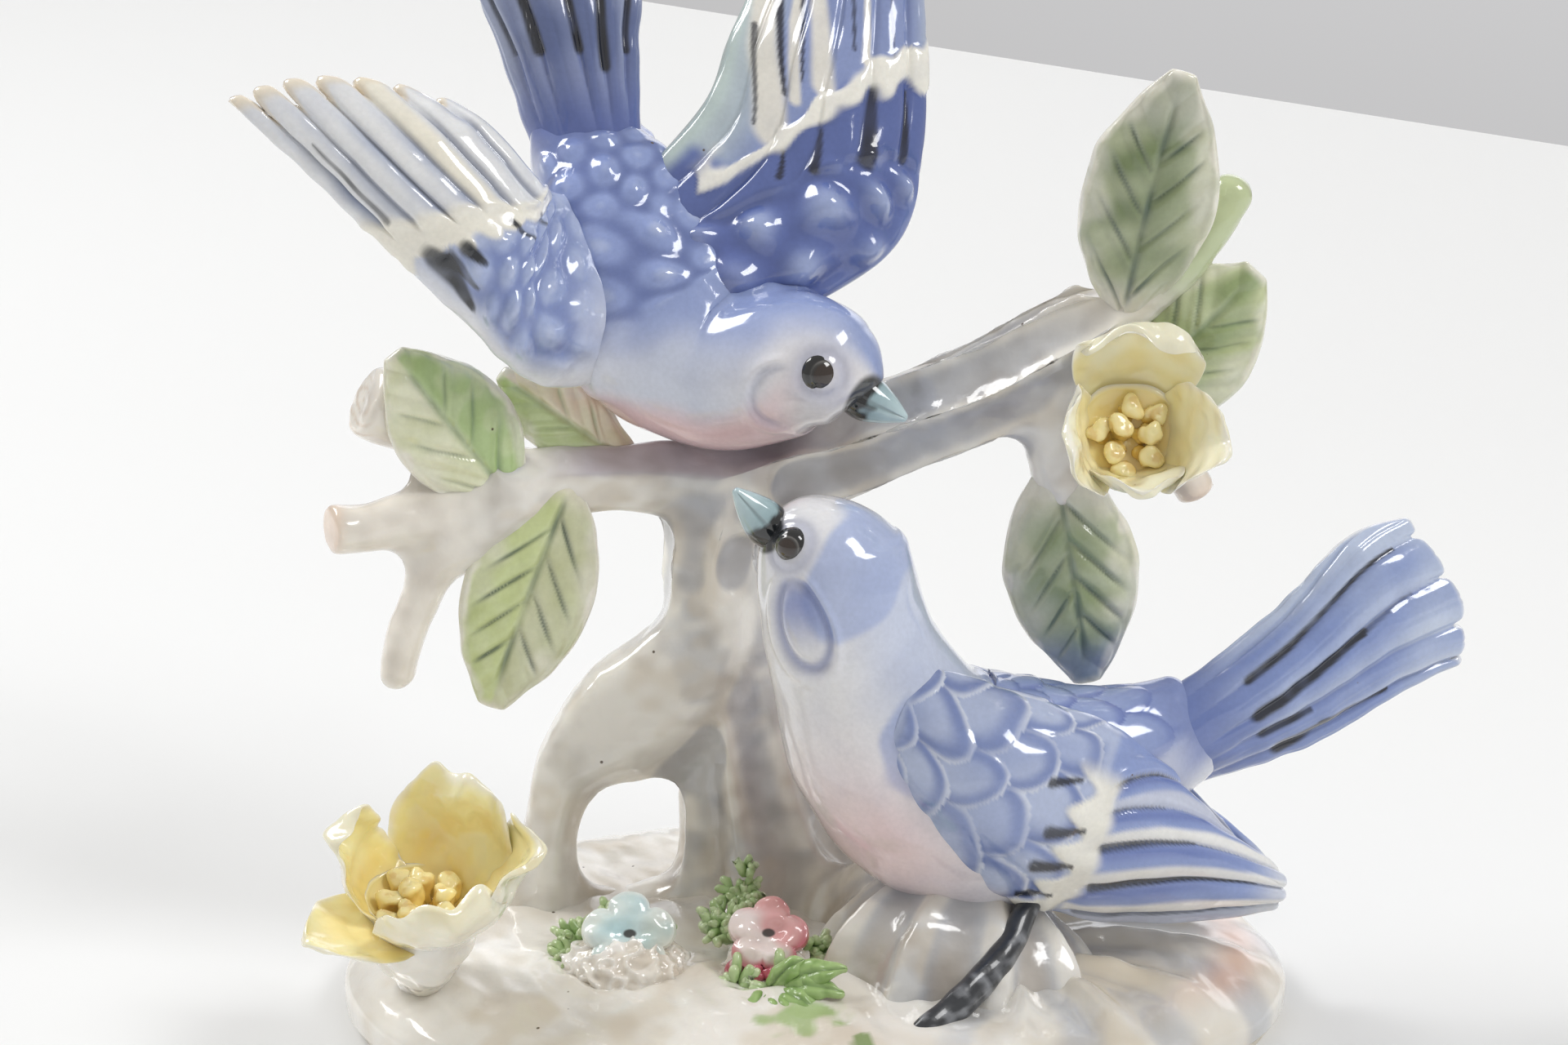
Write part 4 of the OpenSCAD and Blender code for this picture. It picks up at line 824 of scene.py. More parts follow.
def perched_body():
    """Perched bird's head, breast and rump: an oval carried from the crown down the breast and back
    to the tail. Scales on the back, a drop-shaped cheek pressed in below the eye."""
    path = [[3.0, -9, 67.7], [2.5, -9, 63.4], [3.3, -9, 57.8], [5.3, -8, 48.4], [10.3, -7, 37.1],
            [18.2, -6, 30.3], [29.7, -5, 30.5], [40, -3, 33.9], [47.7, 0, 37]]
    grid, t, a, s, r = body(path, [7.8, 8.7, 9.5, 10.3, 13.1, 14.6, 13.4, 8.6, 5.8],
                            [7.2, 8.0, 9.1, 10, 12.6, 13.6, 12, 7.2, 2.6], (0, -1, 0), PERCHED, (0.18, 0.04))
    turn = a - math.pi
    top = np.cos(turn)
    q = turn * r * 0.9
    bump, rim = scales(s, q, 5.4, 0.55, 0.75)
    zone = rise(t, 0.46, 0.54) * rise(t, 0.97, 0.9) * rise(top, 0.0, 0.3)
    fan = gap(grid, [PERCHED_FAN], PERCHED)
    height = zone * (1.0 * bump - 0.4) * rise(fan, 2, 6) + 0.5 * near(fan, 2, 2.2)
    # the cheek is a drop 13 mm long, from under the eye down the neck
    cheek = np.array([-0.9, -17, 55.0]) + PERCHED
    dx, dz = grid[..., 0] - cheek[0], grid[..., 2] - cheek[2]
    along_drop = -0.22 * dx + 0.975 * dz
    across_drop = 0.975 * dx + 0.22 * dz
    drop = np.hypot(across_drop / (3.3 - 0.12 * along_drop), along_drop / 6.6)
    near_side = rise(np.sin(a), 0.1, 0.5) * rise(t, 0.6, 0.45)
    near_side = near_side * rise(along_drop, 6.6, 4.6)
    height = height - 0.5 * near(drop, 0.84, 0.13) * near_side + 0.4 * near(drop, 1.1, 0.13) * near_side
    height = height - 0.5 * near(np.hypot(across_drop - 1.0, (along_drop - 1) * 0.35), 0, 0.9) * near_side
    eye = np.array([-2.2, -14.6, 64]) + PERCHED
    e = np.linalg.norm(grid - eye, axis=-1)
    height = height - 0.15 * near(e, 2.9, 0.5) + 0.10 * wander(grid, 9, 55)
    grid = lift(grid, height * rise(t, 0, 0.06))
    x, z = grid[..., 0] - PERCHED[0], grid[..., 2] - PERCHED[2]
    paint = mix(coat("#dde0ea", grid), "#c3cde6", 0.85 * rise(top, -0.1, 0.8))
    paint = mix(paint, "#e9e9ec", 0.9 * rise(top, 0.35, -0.3) * rise(t, 0.7, 0.6))
    cap = np.hypot((x - 5.8 - 0.35 * (z - 61)) / 6.6, (z - 61) / 8.2) + 0.06 * wander(grid, 8, 56)
    cap = rise(cap, 1.04, 0.86)
    paint = mix(paint, "#a9b8e0", 0.8 * cap * rise(np.sin(a), -0.2, 0.3))
    saddle = rise(np.hypot((x - 12.2) / 4.6, (z - 40) / 6.2) + 0.08 * wander(grid, 6, 57), 1.05, 0.8)
    paint = mix(paint, "#9aaad6", 0.75 * saddle * rise(np.sin(a), -0.2, 0.3))
    paint = mix(paint, "#6d80c0", 0.8 * rise(drop, 1.0, 0.5) * near_side * rise(along_drop, -5, 3))
    paint = mix(paint, "#5a6cae", 0.6 * near(drop, 0.86, 0.12) * near_side)
    paint = mix(paint, "#ecced2", 0.8 * near(t, 0.55, 0.09) * rise(top, 0.3, -0.5))
    paint = mix(paint, "#8da0d4", zone * 0.85)
    paint = mix(paint, "#586cb2", zone * rise(rim, 0.6, 1.0) * 0.8)
    paint = mix(paint, "#c5d1ec", zone * rise(bump, 0.75, 1.0) * 0.5)
    paint = mix(paint, "#6e80b8", 0.9 * rise(t, 0.84, 0.96) * rise(top, -0.9, -0.3))
    paint = mix(paint, "#9aa0c0", 0.5 * near(e, 2.7, 1.1))
    beak = np.array([-4.9, -9.8, 64.6]) + PERCHED
    mask = np.linalg.norm((grid - beak) * (1.0, 0.6, 1.0), axis=-1)
    paint = mix(paint, "#1d2226", 0.95 * rise(mask, 3.0, 2.5))
    piece("perched_bird_trunk", [(grid, paint)], FEATHER, ["perched_bird_body"])


def lanes(u, count):
    """Which feather a point lies on, counted across, and its share across that feather."""
    lane = np.clip(u, 0, 0.9999) * count
    return np.floor(lane), lane - np.floor(lane)


def slanted(u, v, starts, slopes):
    """Feathers whose edges run straight across the plate: at v an edge lies at its start minus its
    slope times (v - 0.5). Gives the running count, the feather and the share across it."""
    edges = [b - m * (v - 0.5) for b, m in zip(starts, slopes)]
    lane = sum(np.clip((u - p) / (q - p), 0, 1) for p, q in zip(edges, edges[1:]))
    k = np.floor(np.minimum(lane, len(starts) - 1.001))
    return lane, k, lane - k


def diving_near_wing():
    """Raised wing towards the viewer: small scales at the shoulder, a ragged white band halfway,
    then long pale feathers with grey-blue shade on one side of each."""
    grid, v, a, u = slab(NEAR_WING, 3.4, [0.35, 1.2, 1.1, 0.8, 0.5], np.arange(1, 7) / 7, 0.07)
    grid = grid + DIVING
    k, f = lanes(u, 7)
    centre_v = np.interp(u, [0, 0.17, 0.34, 0.5, 0.67, 0.8, 1], [0.70, 0.675, 0.63, 0.6, 0.55, 0.46, 0.38])
    bump, rim = beads(v * 56 + 0.4 * wander(grid, 12, 58), u * 22 + 0.4 * wander(grid, 12, 59), 4.8)
    cover = rise(v, centre_v - 0.05, centre_v - 0.1) * rise(v, 0.08, 0.2)
    cover = cover * rise(u, 0.12, 0.26) * rise(u, 0.96, 0.8)
    groove = near(f, 0, 0.08) + near(f, 1, 0.08)
    long_ = rise(v, centre_v, centre_v + 0.03)
    height = cover * (1.2 * bump - 0.6) + long_ * (0.4 * (1 - f) + 0.3 * np.sin(math.pi * f) - 0.35 * groove)
    height = height + 0.10 * wander(grid, 6, 60)
    ragged = 0.03 * np.sin(math.pi * f) + 0.012 * wander(grid, 4, 61)
    band = rise(v, centre_v - 0.045 - ragged, centre_v - 0.025 - ragged)
    band = band * rise(v, centre_v + 0.05, centre_v + 0.02)
    height = height + 0.35 * band
    grid = lift(grid, height * rise(np.sin(a) ** 2, 0.0, 0.12) * rise(v, 0.03, 0.12))
    paint = mix(coat("#b4c0e0", grid), "#a0b0da", cover * 0.75)
    paint = mix(paint, "#6b7db8", cover * rise(rim, 0.55, 0.95) * 0.75)
    paint = mix(paint, "#c3cde8", cover * rise(bump, 0.75, 1.0) * 0.5)
    paint = mix(paint, "#e9ebf1", 0.95 * rise(u, 0.24, 0.08) * rise(v, 0.9, 0.5))
    paint = mix(paint, "#e4e6ef", 0.8 * rise(v, 0.2, 0.05) * rise(u, 0.6, 0.3))
    paint = mix(paint, "#8b9bcf", 0.7 * rise(v, 0.12, 0.03) * rise(u, 0.25, 0.5))
    paint = mix(paint, "#e9ebef", long_)
    shade = rise(f, 0.4, 0.95) * rise(v, 1.0, 0.8) * (0.6 + 0.2 * wander(grid, 9, 62))
    paint = mix(paint, "#9ba7c4", long_ * np.clip(shade, 0, 1) * rise(u, 0.02, 0.1))
    paint = mix(paint, "#f4efdf", long_ * 0.9 * near(k, 4, 0.6) * rise(f, 0.95, 0.5))
    paint = mix(paint, "#6c7690", long_ * groove * rise(v, 0.95, 0.8) * 0.65 * rise(u, 0.1, 0.2))
    paint = mix(paint, "#eaddc6", rise(v, 0.95, 0.985) * 0.8)
    paint = mix(paint, "#f5f2e7", band)
    marks = [([(0.22, 0.6), (0.21, 0.54), (0.165, 0.49)], 3.0, 0.95),
             ([(0.28, 0.585), (0.26, 0.5)], 1.6, 0.8),
             ([(0.365, 0.565), (0.375, 0.515)], 2.0, 0.95), ([(0.64, 0.53), (0.67, 0.43)], 1.0, 0.85),
             ([(0.8, 0.43), (0.79, 0.36)], 0.7, 0.8), ([(0.197, 0.70), (0.198, 0.86)], 0.9, 0.7)]
    ink = sum(stroke(u, v, (22, 56), line, w) * dark for line, w, dark in marks)
    paint = mix(paint, "#1d222b", np.clip(ink * (1 + 0.08 * wander(grid, 3, 63)), 0, 1))
    piece("diving_bird_raised_wing", [(grid, paint)], FEATHER,
          ["diving_bird_near_wing"], zipped=True)


def diving_far_wing():
    """Raised wing behind: round scales in deep blue, black strokes, a white scalloped band, then
    long feathers, blue and cream by turns, with black streaks in their grooves."""
    grid, v, a, u = slab(FAR_WING, 3.4, [1.3, 1.3, 1.1, 0.8, 0.5], np.arange(1, 6) / 6, 0.08)
    grid = grid + DIVING
    f = lanes(u, 6)[1]
    edge = 0.65 - 0.1 * u - 0.75 * np.minimum(u, 0.74) ** 2
    bump, rim = beads(v * 62 + 0.3 * wander(grid, 14, 64), u * 25 + 0.4 * wander(grid, 14, 65), 5.6)
    cover = rise(v, edge - 0.15, edge - 0.19) * rise(v, 0.03, 0.1) * rise(u, 0.04, 0.14)
    long_ = rise(v, edge - 0.2, edge - 0.17)
    groove = near(f, 0, 0.09) + near(f, 1, 0.09)
    height = cover * (2.5 * bump - 1.2) + long_ * (0.45 * np.sin(math.pi * f) - 0.3 * groove)
    height = height + 0.08 * wander(grid, 6, 65)
    ragged = 0.035 * np.sin(math.pi * f) + 0.012 * wander(grid, 4, 66)
    band = rise(v, edge - 0.02 - ragged, edge - ragged)
    band = band * rise(v, edge + 0.065 - ragged, edge + 0.045 - ragged) * rise(u, 0.86, 0.76)
    height = height + 0.4 * band
    grid = lift(grid, height * rise(np.sin(a) ** 2, 0.0, 0.12) * rise(v, 0, 0.06))
    paint = mix(coat("#6779b4", grid), "#a7b5dc", cover * rise(bump, 0.35, 1.0) * 0.85)
    paint = mix(paint, "#5162a2", 0.8 * cover * rise(rim, 0.6, 1))
    paint = mix(paint, "#5666a6", 0.6 * rise(v, 0.16, 0.06) * rise(u, 0.8, 0.5))
    paint = mix(paint, "#596aa6", long_ * rise(v, edge, edge - 0.02))
    above = rise(v, edge + 0.01, edge + 0.04)
    paint = mix(paint, "#8b9ac8", above)
    paint = mix(paint, "#a8b3cd", above * rise(u, 0.16, 0.04))
    paint = mix(paint, "#b9c6cf", above * rise(u, 0.68, 0.86))
    paint = mix(paint, "#c6d6d4", rise(u, 0.86, 0.93) * rise(v, 0.06, 0.14))
    cream = [([(0.69, 0.3), (0.80, 0.5), (0.9, 0.75), (0.92, 1.05)], 3.4),
             ([(0.62, 0.4), (0.70, 0.58), (0.74, 0.8)], 1.4),
             ([(0.51, 0.46), (0.62, 0.66), (0.66, 0.85), (0.68, 1.0)], 2.2),
             ([(0.36, 0.56), (0.42, 0.9)], 0.9)]
    pale = sum(stroke(u, v, (25, 62), line, w * 1.3) for line, w in cream)
    paint = mix(paint, "#efebe0", np.clip(pale, 0, 1) * 0.9)
    marks = [([(0.32, 0.53), (0.31, 0.46), (0.30, 0.36)], 1.9, 0.95),
             ([(0.49, 0.37), (0.46, 0.28)], 1.3, 0.95),
             ([(0.17, 0.58), (0.15, 0.44)], 1.0, 0.9), ([(0.61, 0.29), (0.55, 0.23)], 0.9, 0.9),
             ([(0.76, 0.29), (0.80, 0.4), (0.86, 0.56)], 0.9, 0.85),
             ([(0.675, 0.4), (0.76, 0.58), (0.82, 0.72)], 1.3, 1.0),
             ([(0.6, 0.45), (0.68, 0.62), (0.74, 0.8)], 0.9, 0.95),
             ([(0.42, 0.57), (0.456, 0.7), (0.5, 0.9)], 0.9, 0.8),
             ([(0.25, 0.6), (0.27, 0.85)], 0.7, 0.5)]
    ink = sum(stroke(u, v, (25, 62), line[::-1], w) * dark for line, w, dark in marks)
    paint = mix(paint, "#181c30", np.clip(ink * (1 + 0.08 * wander(grid, 6, 67)), 0, 1) * 0.95)
    paint = mix(paint, "#f4f2ea", band)
    paint = mix(paint, "#e8eaee", rise(u, 0.03, 0.005) * 0.8)
    paint = mix(paint, "#ecdfca", rise(v, 0.96, 0.985) * 0.7)
    piece("diving_bird_back_wing", [(grid, paint)], FEATHER,
          ["diving_bird_far_wing"], zipped=True)


def folded_wing(side, name, replaced):
    """Folded wing: large overlapping scales on the shoulder, a ragged white band with black dashes,
    then flight feathers, each with a black line above, blue in the middle and white below."""
    rows = [[[13, -12, 48], [11, -16, 45], [9.5, -17, 40], [9.6, -14, 32]],
            [[26.5, -12, 44], [23.2, -19.5, 40], [20.4, -20.5, 32.4], [20, -15, 22]],
            [[38.5, -9, 38], [36, -15, 34], [33.4, -15.5, 25.2], [31.5, -11, 16.3]],
            [[47.2, -8, 28.4], [46.7, -11, 25.7], [45.6, -11, 20.5], [44.6, -8, 14.2]],
            [[56.7, -6, 18.9], [57.6, -6.5, 18], [57.6, -6.5, 16.8], [56.8, -6, 15]]]
    spine = [-8, -7, -5.5, -3.5, -2]
    drop = 0 if side > 0 else 2.5
    net = [[[p[0], p[1] if side > 0 else 2 * spine[i] - p[1], p[2] - drop] for p in row]
           for i, row in enumerate(rows)]
    grid, v, a, u = slab(net, 3.4, [0.9, 1.2, 1.1, 0.8, 0.6], (0.4, 0.75), 0.03)
    grid = grid + PERCHED
    # feather edges cross the wing along straight lines, steeper towards the back
    starts = np.array([0.18, 0.315, 0.438, 0.589, 0.77, 0.93, 1.1])
    slopes = np.array([1.8, 1.68, 1.06, 0.845, 0.6, 0.21, 0.1])
    lane, k, f = slanted(u, v, starts, slopes)
    wide = along([17, 24, 23, 15, 4], v)
    bump, rim = scales(v * 58 + 0.6 * wander(grid, 13, 68), (u - 0.5) * wide
                       + 0.7 * wander(grid, 13, 69), 6.4, 0.6, 0.8)
    cover = rise(v, 0.455, 0.42) * rise(v, 0.01, 0.05)
    edge_line = (near(f, 0, 0.07) + near(f, 1, 0.07)) * rise(lane, 0, 0.1)
    height = cover * (1.5 * bump - 0.8) + rise(v, 0.46, 0.52) * (0.5 * np.sin(math.pi * f) - 0.35 * edge_line)
    height = height + 0.08 * wander(grid, 6, 70)
    middle_v = np.interp(u, [0.3, 0.75, 0.88, 1], [0.462, 0.47, 0.43, 0.385])
    count = np.interp(u, [0.2, 0.38, 0.56, 0.71, 0.86, 1.0], [0, 1, 2, 3, 4, 5])
    finger = 0.5 - 0.5 * np.cos(2 * math.pi * (count - 0.05))
    band = rise(v, middle_v - 0.025 - 0.055 * finger, middle_v - 0.01 - 0.055 * finger)
    band = band * rise(v, middle_v + 0.04 + 0.015 * finger, middle_v + 0.02) * rise(u, 0.26, 0.36)
    height = height + 0.35 * band
    grid = lift(grid, height * rise(np.sin(a) ** 2, 0.0, 0.12) * rise(v, 0, 0.05))
    paint = mix(coat("#b4c0df", grid), "#7486bb",
                cover * rise(rim, 0.4, 0.75) * rise(rim, 1.0, 0.85) * 0.9)
    # near-white rims of the scales, and painted highlight on the raised free end of each scale
    shine = np.maximum(0.7 * rise(rim, 0.8, 0.96), 0.55 * rise(bump, 0.75, 1.0))
    paint = mix(paint, "#e3e8f2", cover * shine * 0.85)
    paint = mix(paint, "#8b9ccc", 0.4 * cover * rise(wander(grid, 14, 73), 0, 1))
    paint = mix(paint, "#ecd6da", 0.5 * rise(u, 0.86, 0.97) * rise(v, 0.42, 0.2))
    long_ = rise(v, 0.455, 0.475)
    paint = mix(paint, "#8ea0d2", long_)
    flight = long_ * rise(lane, 0.9, 1.0)
    paint = mix(paint, "#f1f1f0", flight * rise(f, 0.46, 0.64) * rise(f, 1.02, 0.97)
                * (1 - 0.5 * near(k, 1, 0.4)))
    paint = mix(paint, "#5d70b2", flight * near(f, 0.2, 0.15) * 0.65 * rise(v, 0.9, 0.7))
    paint = mix(paint, "#c9ced8", long_ * rise(lane, 4.9, 5.1) * 0.7)
    paint = mix(paint, "#eef0f1", long_ * rise(v, 0.86, 0.97) * 0.6)
    marks = [([(0.344, 0.483), (0.056, 0.654)], 0.55, 0.75), ([(0.438, 0.5), (0.306, 0.625)], 0.5, 0.5),
             ([(0.6, 0.487), (0.388, 0.738)], 1.0, 0.85),
             ([(0.763, 0.512), (0.64, 0.72), (0.531, 0.9)], 0.95, 1.0),
             ([(0.935, 0.5), (0.89, 0.72), (0.842, 0.93)], 0.6, 0.75)]
    ink = sum(stroke(u, v, (20, 56), line, w) * dark for line, w, dark in marks)
    ink = ink * (1 + 0.1 * wander(grid, 5, 72))
    paint = mix(paint, "#15171d", np.clip(ink, 0, 1) * 0.93)
    paint = mix(paint, "#f4f2e9", band)
    marks = [([(0.40, 0.345), (0.355, 0.41)], 1.0), ([(0.585, 0.375), (0.54, 0.447)], 1.3),
             ([(0.735, 0.37), (0.69, 0.447)], 1.3), ([(0.885, 0.352), (0.835, 0.43)], 1.0),
             ([(0.985, 0.32), (0.955, 0.415)], 0.8)]
    dashes = sum(stroke(u, v, (20, 56), line, w) for line, w in marks)
    paint = mix(paint, "#1b1e28", np.clip(dashes, 0, 1) * 0.93)
    piece(name, [(grid, paint)], FEATHER, [replaced], zipped=True)


def tail(name, net, shift, root, blade, marks, replaced):
    """Fanned tail: soft ridged feathers side by side with rounded ends, black strokes brushed along
    the grooves."""
    grid, v, a, u = slab(net, 3.2, root, (0.15, 0.42, 0.72, 0.915), 0.05, rows=190, sides=280)
    grid = grid + shift
    f = slanted(u, v, (-0.05, 0.087, 0.272, 0.52, 0.72, 0.875, 1.02),
                         (0.2, 0.39, 0.246, 0.205, 0, -0.08, 0))[2]
    groove = near(f, 0, 0.09) + near(f, 1, 0.09)
    height = rise(v, 0.08, 0.3) * (0.45 * np.sin(math.pi * f) - 0.3 * groove - 0.12 * near(f, 0.5, 0.05)
                                   + 0.2 * np.sin(math.pi * u))
    grid = lift(grid, (height + 0.08 * wander(grid, 6, 75)) * rise(np.sin(a) ** 2, 0.0, 0.12))
    light, blue, deep = blade
    paint = mix(coat(blue, grid), light, np.clip(
        rise(f, 0.3, 0.9) * 0.5 + rise(v, 0.35, 0.95) * 0.45 + 0.12 * wander(grid, 12, 76), 0, 1))
    paint = mix(paint, deep, rise(v, 0.35, 0.08) * 0.9)
    paint = mix(paint, deep, 0.45 * groove * rise(v, 0.15, 0.3) * rise(v, 0.95, 0.7))
    paint = mix(paint, light, 0.8 * rise(u, 0.24, 0.10) * rise(v, 0.12, 0.3))
    ink = sum(stroke(u, v, (20, 44), line, w) * dark * (1 + 0.1 * wander(grid, 4, 77))
              for line, w, dark in marks)
    paint = mix(paint, "#15181f", np.clip(1.1 * ink, 0, 1) * 0.95)
    paint = mix(paint, "#eceef2", 0.85 * np.maximum(np.maximum(rise(u, 0.03, 0.0), rise(u, 0.95, 1.0)),
                                                    rise(v, 0.965, 0.99)))
    piece(name, [(grid, paint)], FEATHER, [replaced], zipped=True)


def tails():
    """The two fanned tails."""
    tail("perched_bird_fan", PERCHED_FAN, PERCHED, [2.7, 1.7, 1.1, 0.7],
         ("#c3cfe6", "#8497cb", "#6578b4"),
         [([(0.338, 0.229), (0.28, 0.42), (0.2, 0.79)], 1.2, 0.9),
          ([(0.575, 0.24), (0.54, 0.4), (0.515, 0.56)], 2.1, 1.0),
          ([(0.519, 0.55), (0.463, 0.77)], 0.9, 0.45),
          ([(0.715, 0.24), (0.735, 0.36)], 1.3, 0.9),
          ([(0.856, 0.27), (0.83, 0.4)], 1.9, 1.0), ([(0.83, 0.38), (0.888, 0.63)], 1.1, 0.9)],
         "perched_bird_tail")
    tail("diving_bird_fan", DIVING_FAN, DIVING, [2.3, 1.6, 1.1, 0.7],
         ("#a9b2cc", "#5f6d99", "#5a6bab"),
         [([(0.32, 0.3), (0.16, 0.95)], 1.5, 1.0), ([(0.56, 0.3), (0.43, 0.95)], 1.4, 0.9),
          ([(0.72, 0.26), (0.72, 0.9)], 1.5, 0.95), ([(0.86, 0.3), (0.91, 0.9)], 1.1, 0.8),
          ([(0.17, 0.3), (-0.07, 0.9)], 0.9, 0.7)], "diving_bird_tail")


def beaks():
    """Short cones whose outline bows out a little, slit along the middle; black at the face, teal
    at the tip."""
    for name, root, tip, r, shift in (
            ("diving_bird_beak", [4.4, 6.1, 77.3], [11.8, 3.6, 74], 2.9, DIVING),
            ("perched_bird_beak", [-3.4, -9.4, 63.2], [-8.8, -12, 70.1], 2.7, PERCHED)):
        root, tip = np.array(root, float), np.array(tip, float)
        path = [root + (tip - root) * s for s in (-0.3, 0, 0.33, 0.67, 1)]
        grid, t, a = sweep(path, [r * 0.45, r * 0.8, r, r * 0.68, 0.4],
                           [r * 0.45, r * 0.78, r * 0.95, r * 0.64, 0.4],
                           (0.1, -1, 0.1), rows=80, sides=80, ends=(0.2, 0.04))
        slit = near(np.sin(a), 1, 0.006) * rise(t, 0.4, 0.5) * rise(t, 1, 0.9) * 0.5
        grid = lift(grid, -0.3 * slit)
        base = rise(t + 0.03 * wander(grid, 2, 80), 0.66, 0.56)
        paint = mix(coat("#bdd3d9", grid), "#86a5ae", rise(t, 0.95, 0.6) * 0.6)
        paint = mix(paint, "#191d21", np.maximum(base, 0.7 * slit))
        piece(name + "_cone", [(grid + shift, paint)], ENAMEL, [name])


def eyes():
    """Bead eyes: spheres sunk until 1.4 mm of them stands out, with a groove 45 degrees from the
    way they look. The colour follows that angle: brown-black pupil, thin pale ring, black rim."""
    for name, shift, r, pair in (
            ("diving_bird_eyes", DIVING, 2.65,
             (([1.5, 1.2, 80.4], (0.28, -0.95, 0.1)), ([1.7, 14.2, 80], (0.25, 0.96, 0.1)))),
            ("perched_bird_eyes", PERCHED, 2.15,
             (([-2.2, -14.6, 64], (-0.35, -0.9, 0.1)), ([-2.6, -3.2, 62.4], (-0.4, 0.9, 0.1))))):
        parts = []
        for middle, look in pair:
            t, a = stations(48, 64)
            polar = t * math.pi
            look = unit(np.array(look))
            side = unit(np.cross(look, (0, 0, 1)))
            up = np.cross(side, look)
            ball = (look * np.cos(polar)[..., None] + side * (np.sin(polar) * np.cos(a))[..., None]
                    + up * (np.sin(polar) * np.sin(a))[..., None])
            deg = np.degrees(polar)
            height = r - 0.1 * near(deg, 45, 3)
            grid = np.array(middle) - (r - 1.4) * look + ball * height[..., None]
            paint = mix(coat("#14161a", grid), "#2e211b", rise(deg, 34, 26))
            ring = near(deg, 36, 2.0) * (0.25 + 0.6 * rise(np.cos(a - 2.2), -0.2, 0.8))
            paint = mix(paint, "#a8a4a0", ring)
            parts.append((grid[1:-1] + shift, paint[1:-1]))
        piece(name + "_beads", parts, ENAMEL, [name])


# ---- flowers ----

PETAL_THICK = 1.2


def petal(middle, axis, turn, profile, widths, cup, seed, ruffle, yellow):
    """Petal: an oval section carried out of the cup along distance-and-height pairs, hollowed
    towards the flower's axis, its free half ruffled by wandering; yellow inside, white outside."""
    tip_share = 0.09
    axis = unit(np.array(axis))
    level = unit(np.cross(axis, (0, 0, 1)))
    upward = np.cross(level, axis)
    out = level * math.cos(math.radians(turn)) + upward * math.sin(math.radians(turn))
    path = [np.array(middle) + out * p[0] + axis * p[1] for p in profile]
    grid, t, a = sweep(path, widths, [PETAL_THICK / 2] * len(profile), -out + axis * 0.3, rows=90, sides=110,
                       cup=-cup, ends=(0, tip_share))
    x = np.cos(a)
    free = rise(t, 0.35, 0.9)
    tip = np.clip((1 - t) / tip_share, 0, 1)
    lateral = x * along(widths, t) * np.sqrt(np.clip(1 - (1 - tip) ** 2, 0, 1))
    outwards = ruffle * free * wander(np.stack([lateral, t * 12, 0 * t], -1), 7.5, seed)
    upwards = 0.8 * ruffle * free * wander(np.stack([lateral, t * 6, 0 * t], -1), 6, seed + 1)
    grid = grid + out * outwards[..., None] + axis * upwards[..., None]
    inside = rise(np.sin(a), -0.05, 0.2)
    rim = np.maximum(rise(t, 0.84, 0.97), rise(np.abs(x), 0.82, 0.97))
    paint = mix(coat("#f3f0e4", grid), yellow[0], inside * (1 - 0.85 * rim))
    paint = mix(paint, yellow[1], inside * rise(t + 0.1 * wander(grid, 5, seed + 2), 0.75, 0.15) * 0.85)
    paint = mix(paint, "#eee6b0", 0.35 * (1 - inside) * rise(t, 0.45, 0.9))
    grid = lift(grid, 0.07 * wander(grid, 3, seed + 3))
    return grid, paint


def bowl(foot, axis, height, mouth, narrow, seed, soil=0.0):
    """Cup of a flower: a goblet turned about its axis, hollow at the mouth, its wall wandering;
    the outside white, the inside ochre."""
    foot, axis = np.array(foot, float), unit(np.array(axis))
    outer = along([0.42, 0.5 + narrow / 2, 0.52 + narrow, 1.0 + narrow / 4, 1.12],
                  np.linspace(0, 1, 40)) * mouth
    inner = along([1.04, 0.8, 0.45, 0.02], np.linspace(0, 1, 24)) * mouth
    level = np.concatenate([np.linspace(0, 1, 40), np.linspace(1.0, 0.7, 24)]) * height
    radius = np.concatenate([outer, inner])
    a = np.arange(72) * 2 * math.pi / 72
    side = unit(np.cross(axis, (0.02, 0.1, 1)))
    up = np.cross(side, axis)
    spoke = side * np.cos(a)[:, None] + up * np.sin(a)[:, None]
    radius = radius[:, None] * (1 + 0.05 * np.cos(3 * a + seed))
    grid = foot + axis * level[:, None, None] + spoke * radius[..., None]
    grid[:40] += spoke * (0.25 * wander(grid[:40], 5, seed))[..., None]
    paint = coat("#f2efe8", grid).copy()
    paint[40:] = rgb("#f7e6a4")
    crack = rise(np.abs(wander(grid[:40] * (1, 1, 0.6), 7, seed + 5)), 0.05, 0.02)
    crack = crack * rise(level[:40, None], 0.5 * height, 0.1 * height)
    paint[:40] = mix(paint[:40], "#6b5138", soil * crack)
    return grid, paint


def stamen_tuft(middle, axis, spread, height, count, seed):
    """Lumpy stamens: short thick stalks with rounded ends, in a sunflower spiral (angle 137.5 degrees,
    distance growing as the square root), each leaning outwards; specked ochre."""
    axis = unit(np.array(axis))
    level = unit(np.cross(axis, (0, 0, 1)))
    upward = np.cross(level, axis)
    parts = []
    for i in range(count):
        turn = math.radians(137.5 * i + 40)
        far = spread * math.sqrt((i + 0.4) / count)
        out = level * math.cos(turn) + upward * math.sin(turn)
        root = np.array(middle) + out * far
        tall = height * (1.05 - 0.4 * far / spread)
        tip = root + axis * tall + out * 0.9
        grid, t, a = sweep([root, (root + tip) / 2 + out * 0.2, tip], [1.7, 1.3, 1.7], [1.6, 1.3, 1.6],
                           (0.3, 0.9, 0.3), rows=24, sides=20, ends=(0, 0.32))
        grid = lift(grid, 0.28 * wander(grid, 2.6, seed))
        paint = mix(coat("#f1d47a", grid), "#f9ebb4", rise(t, 0.5, 1))
        parts.append((grid, mix(paint, "#c99a3c", 0.4 * rise(wander(grid, 2, seed + 1), 0.3, 1))))
    return parts


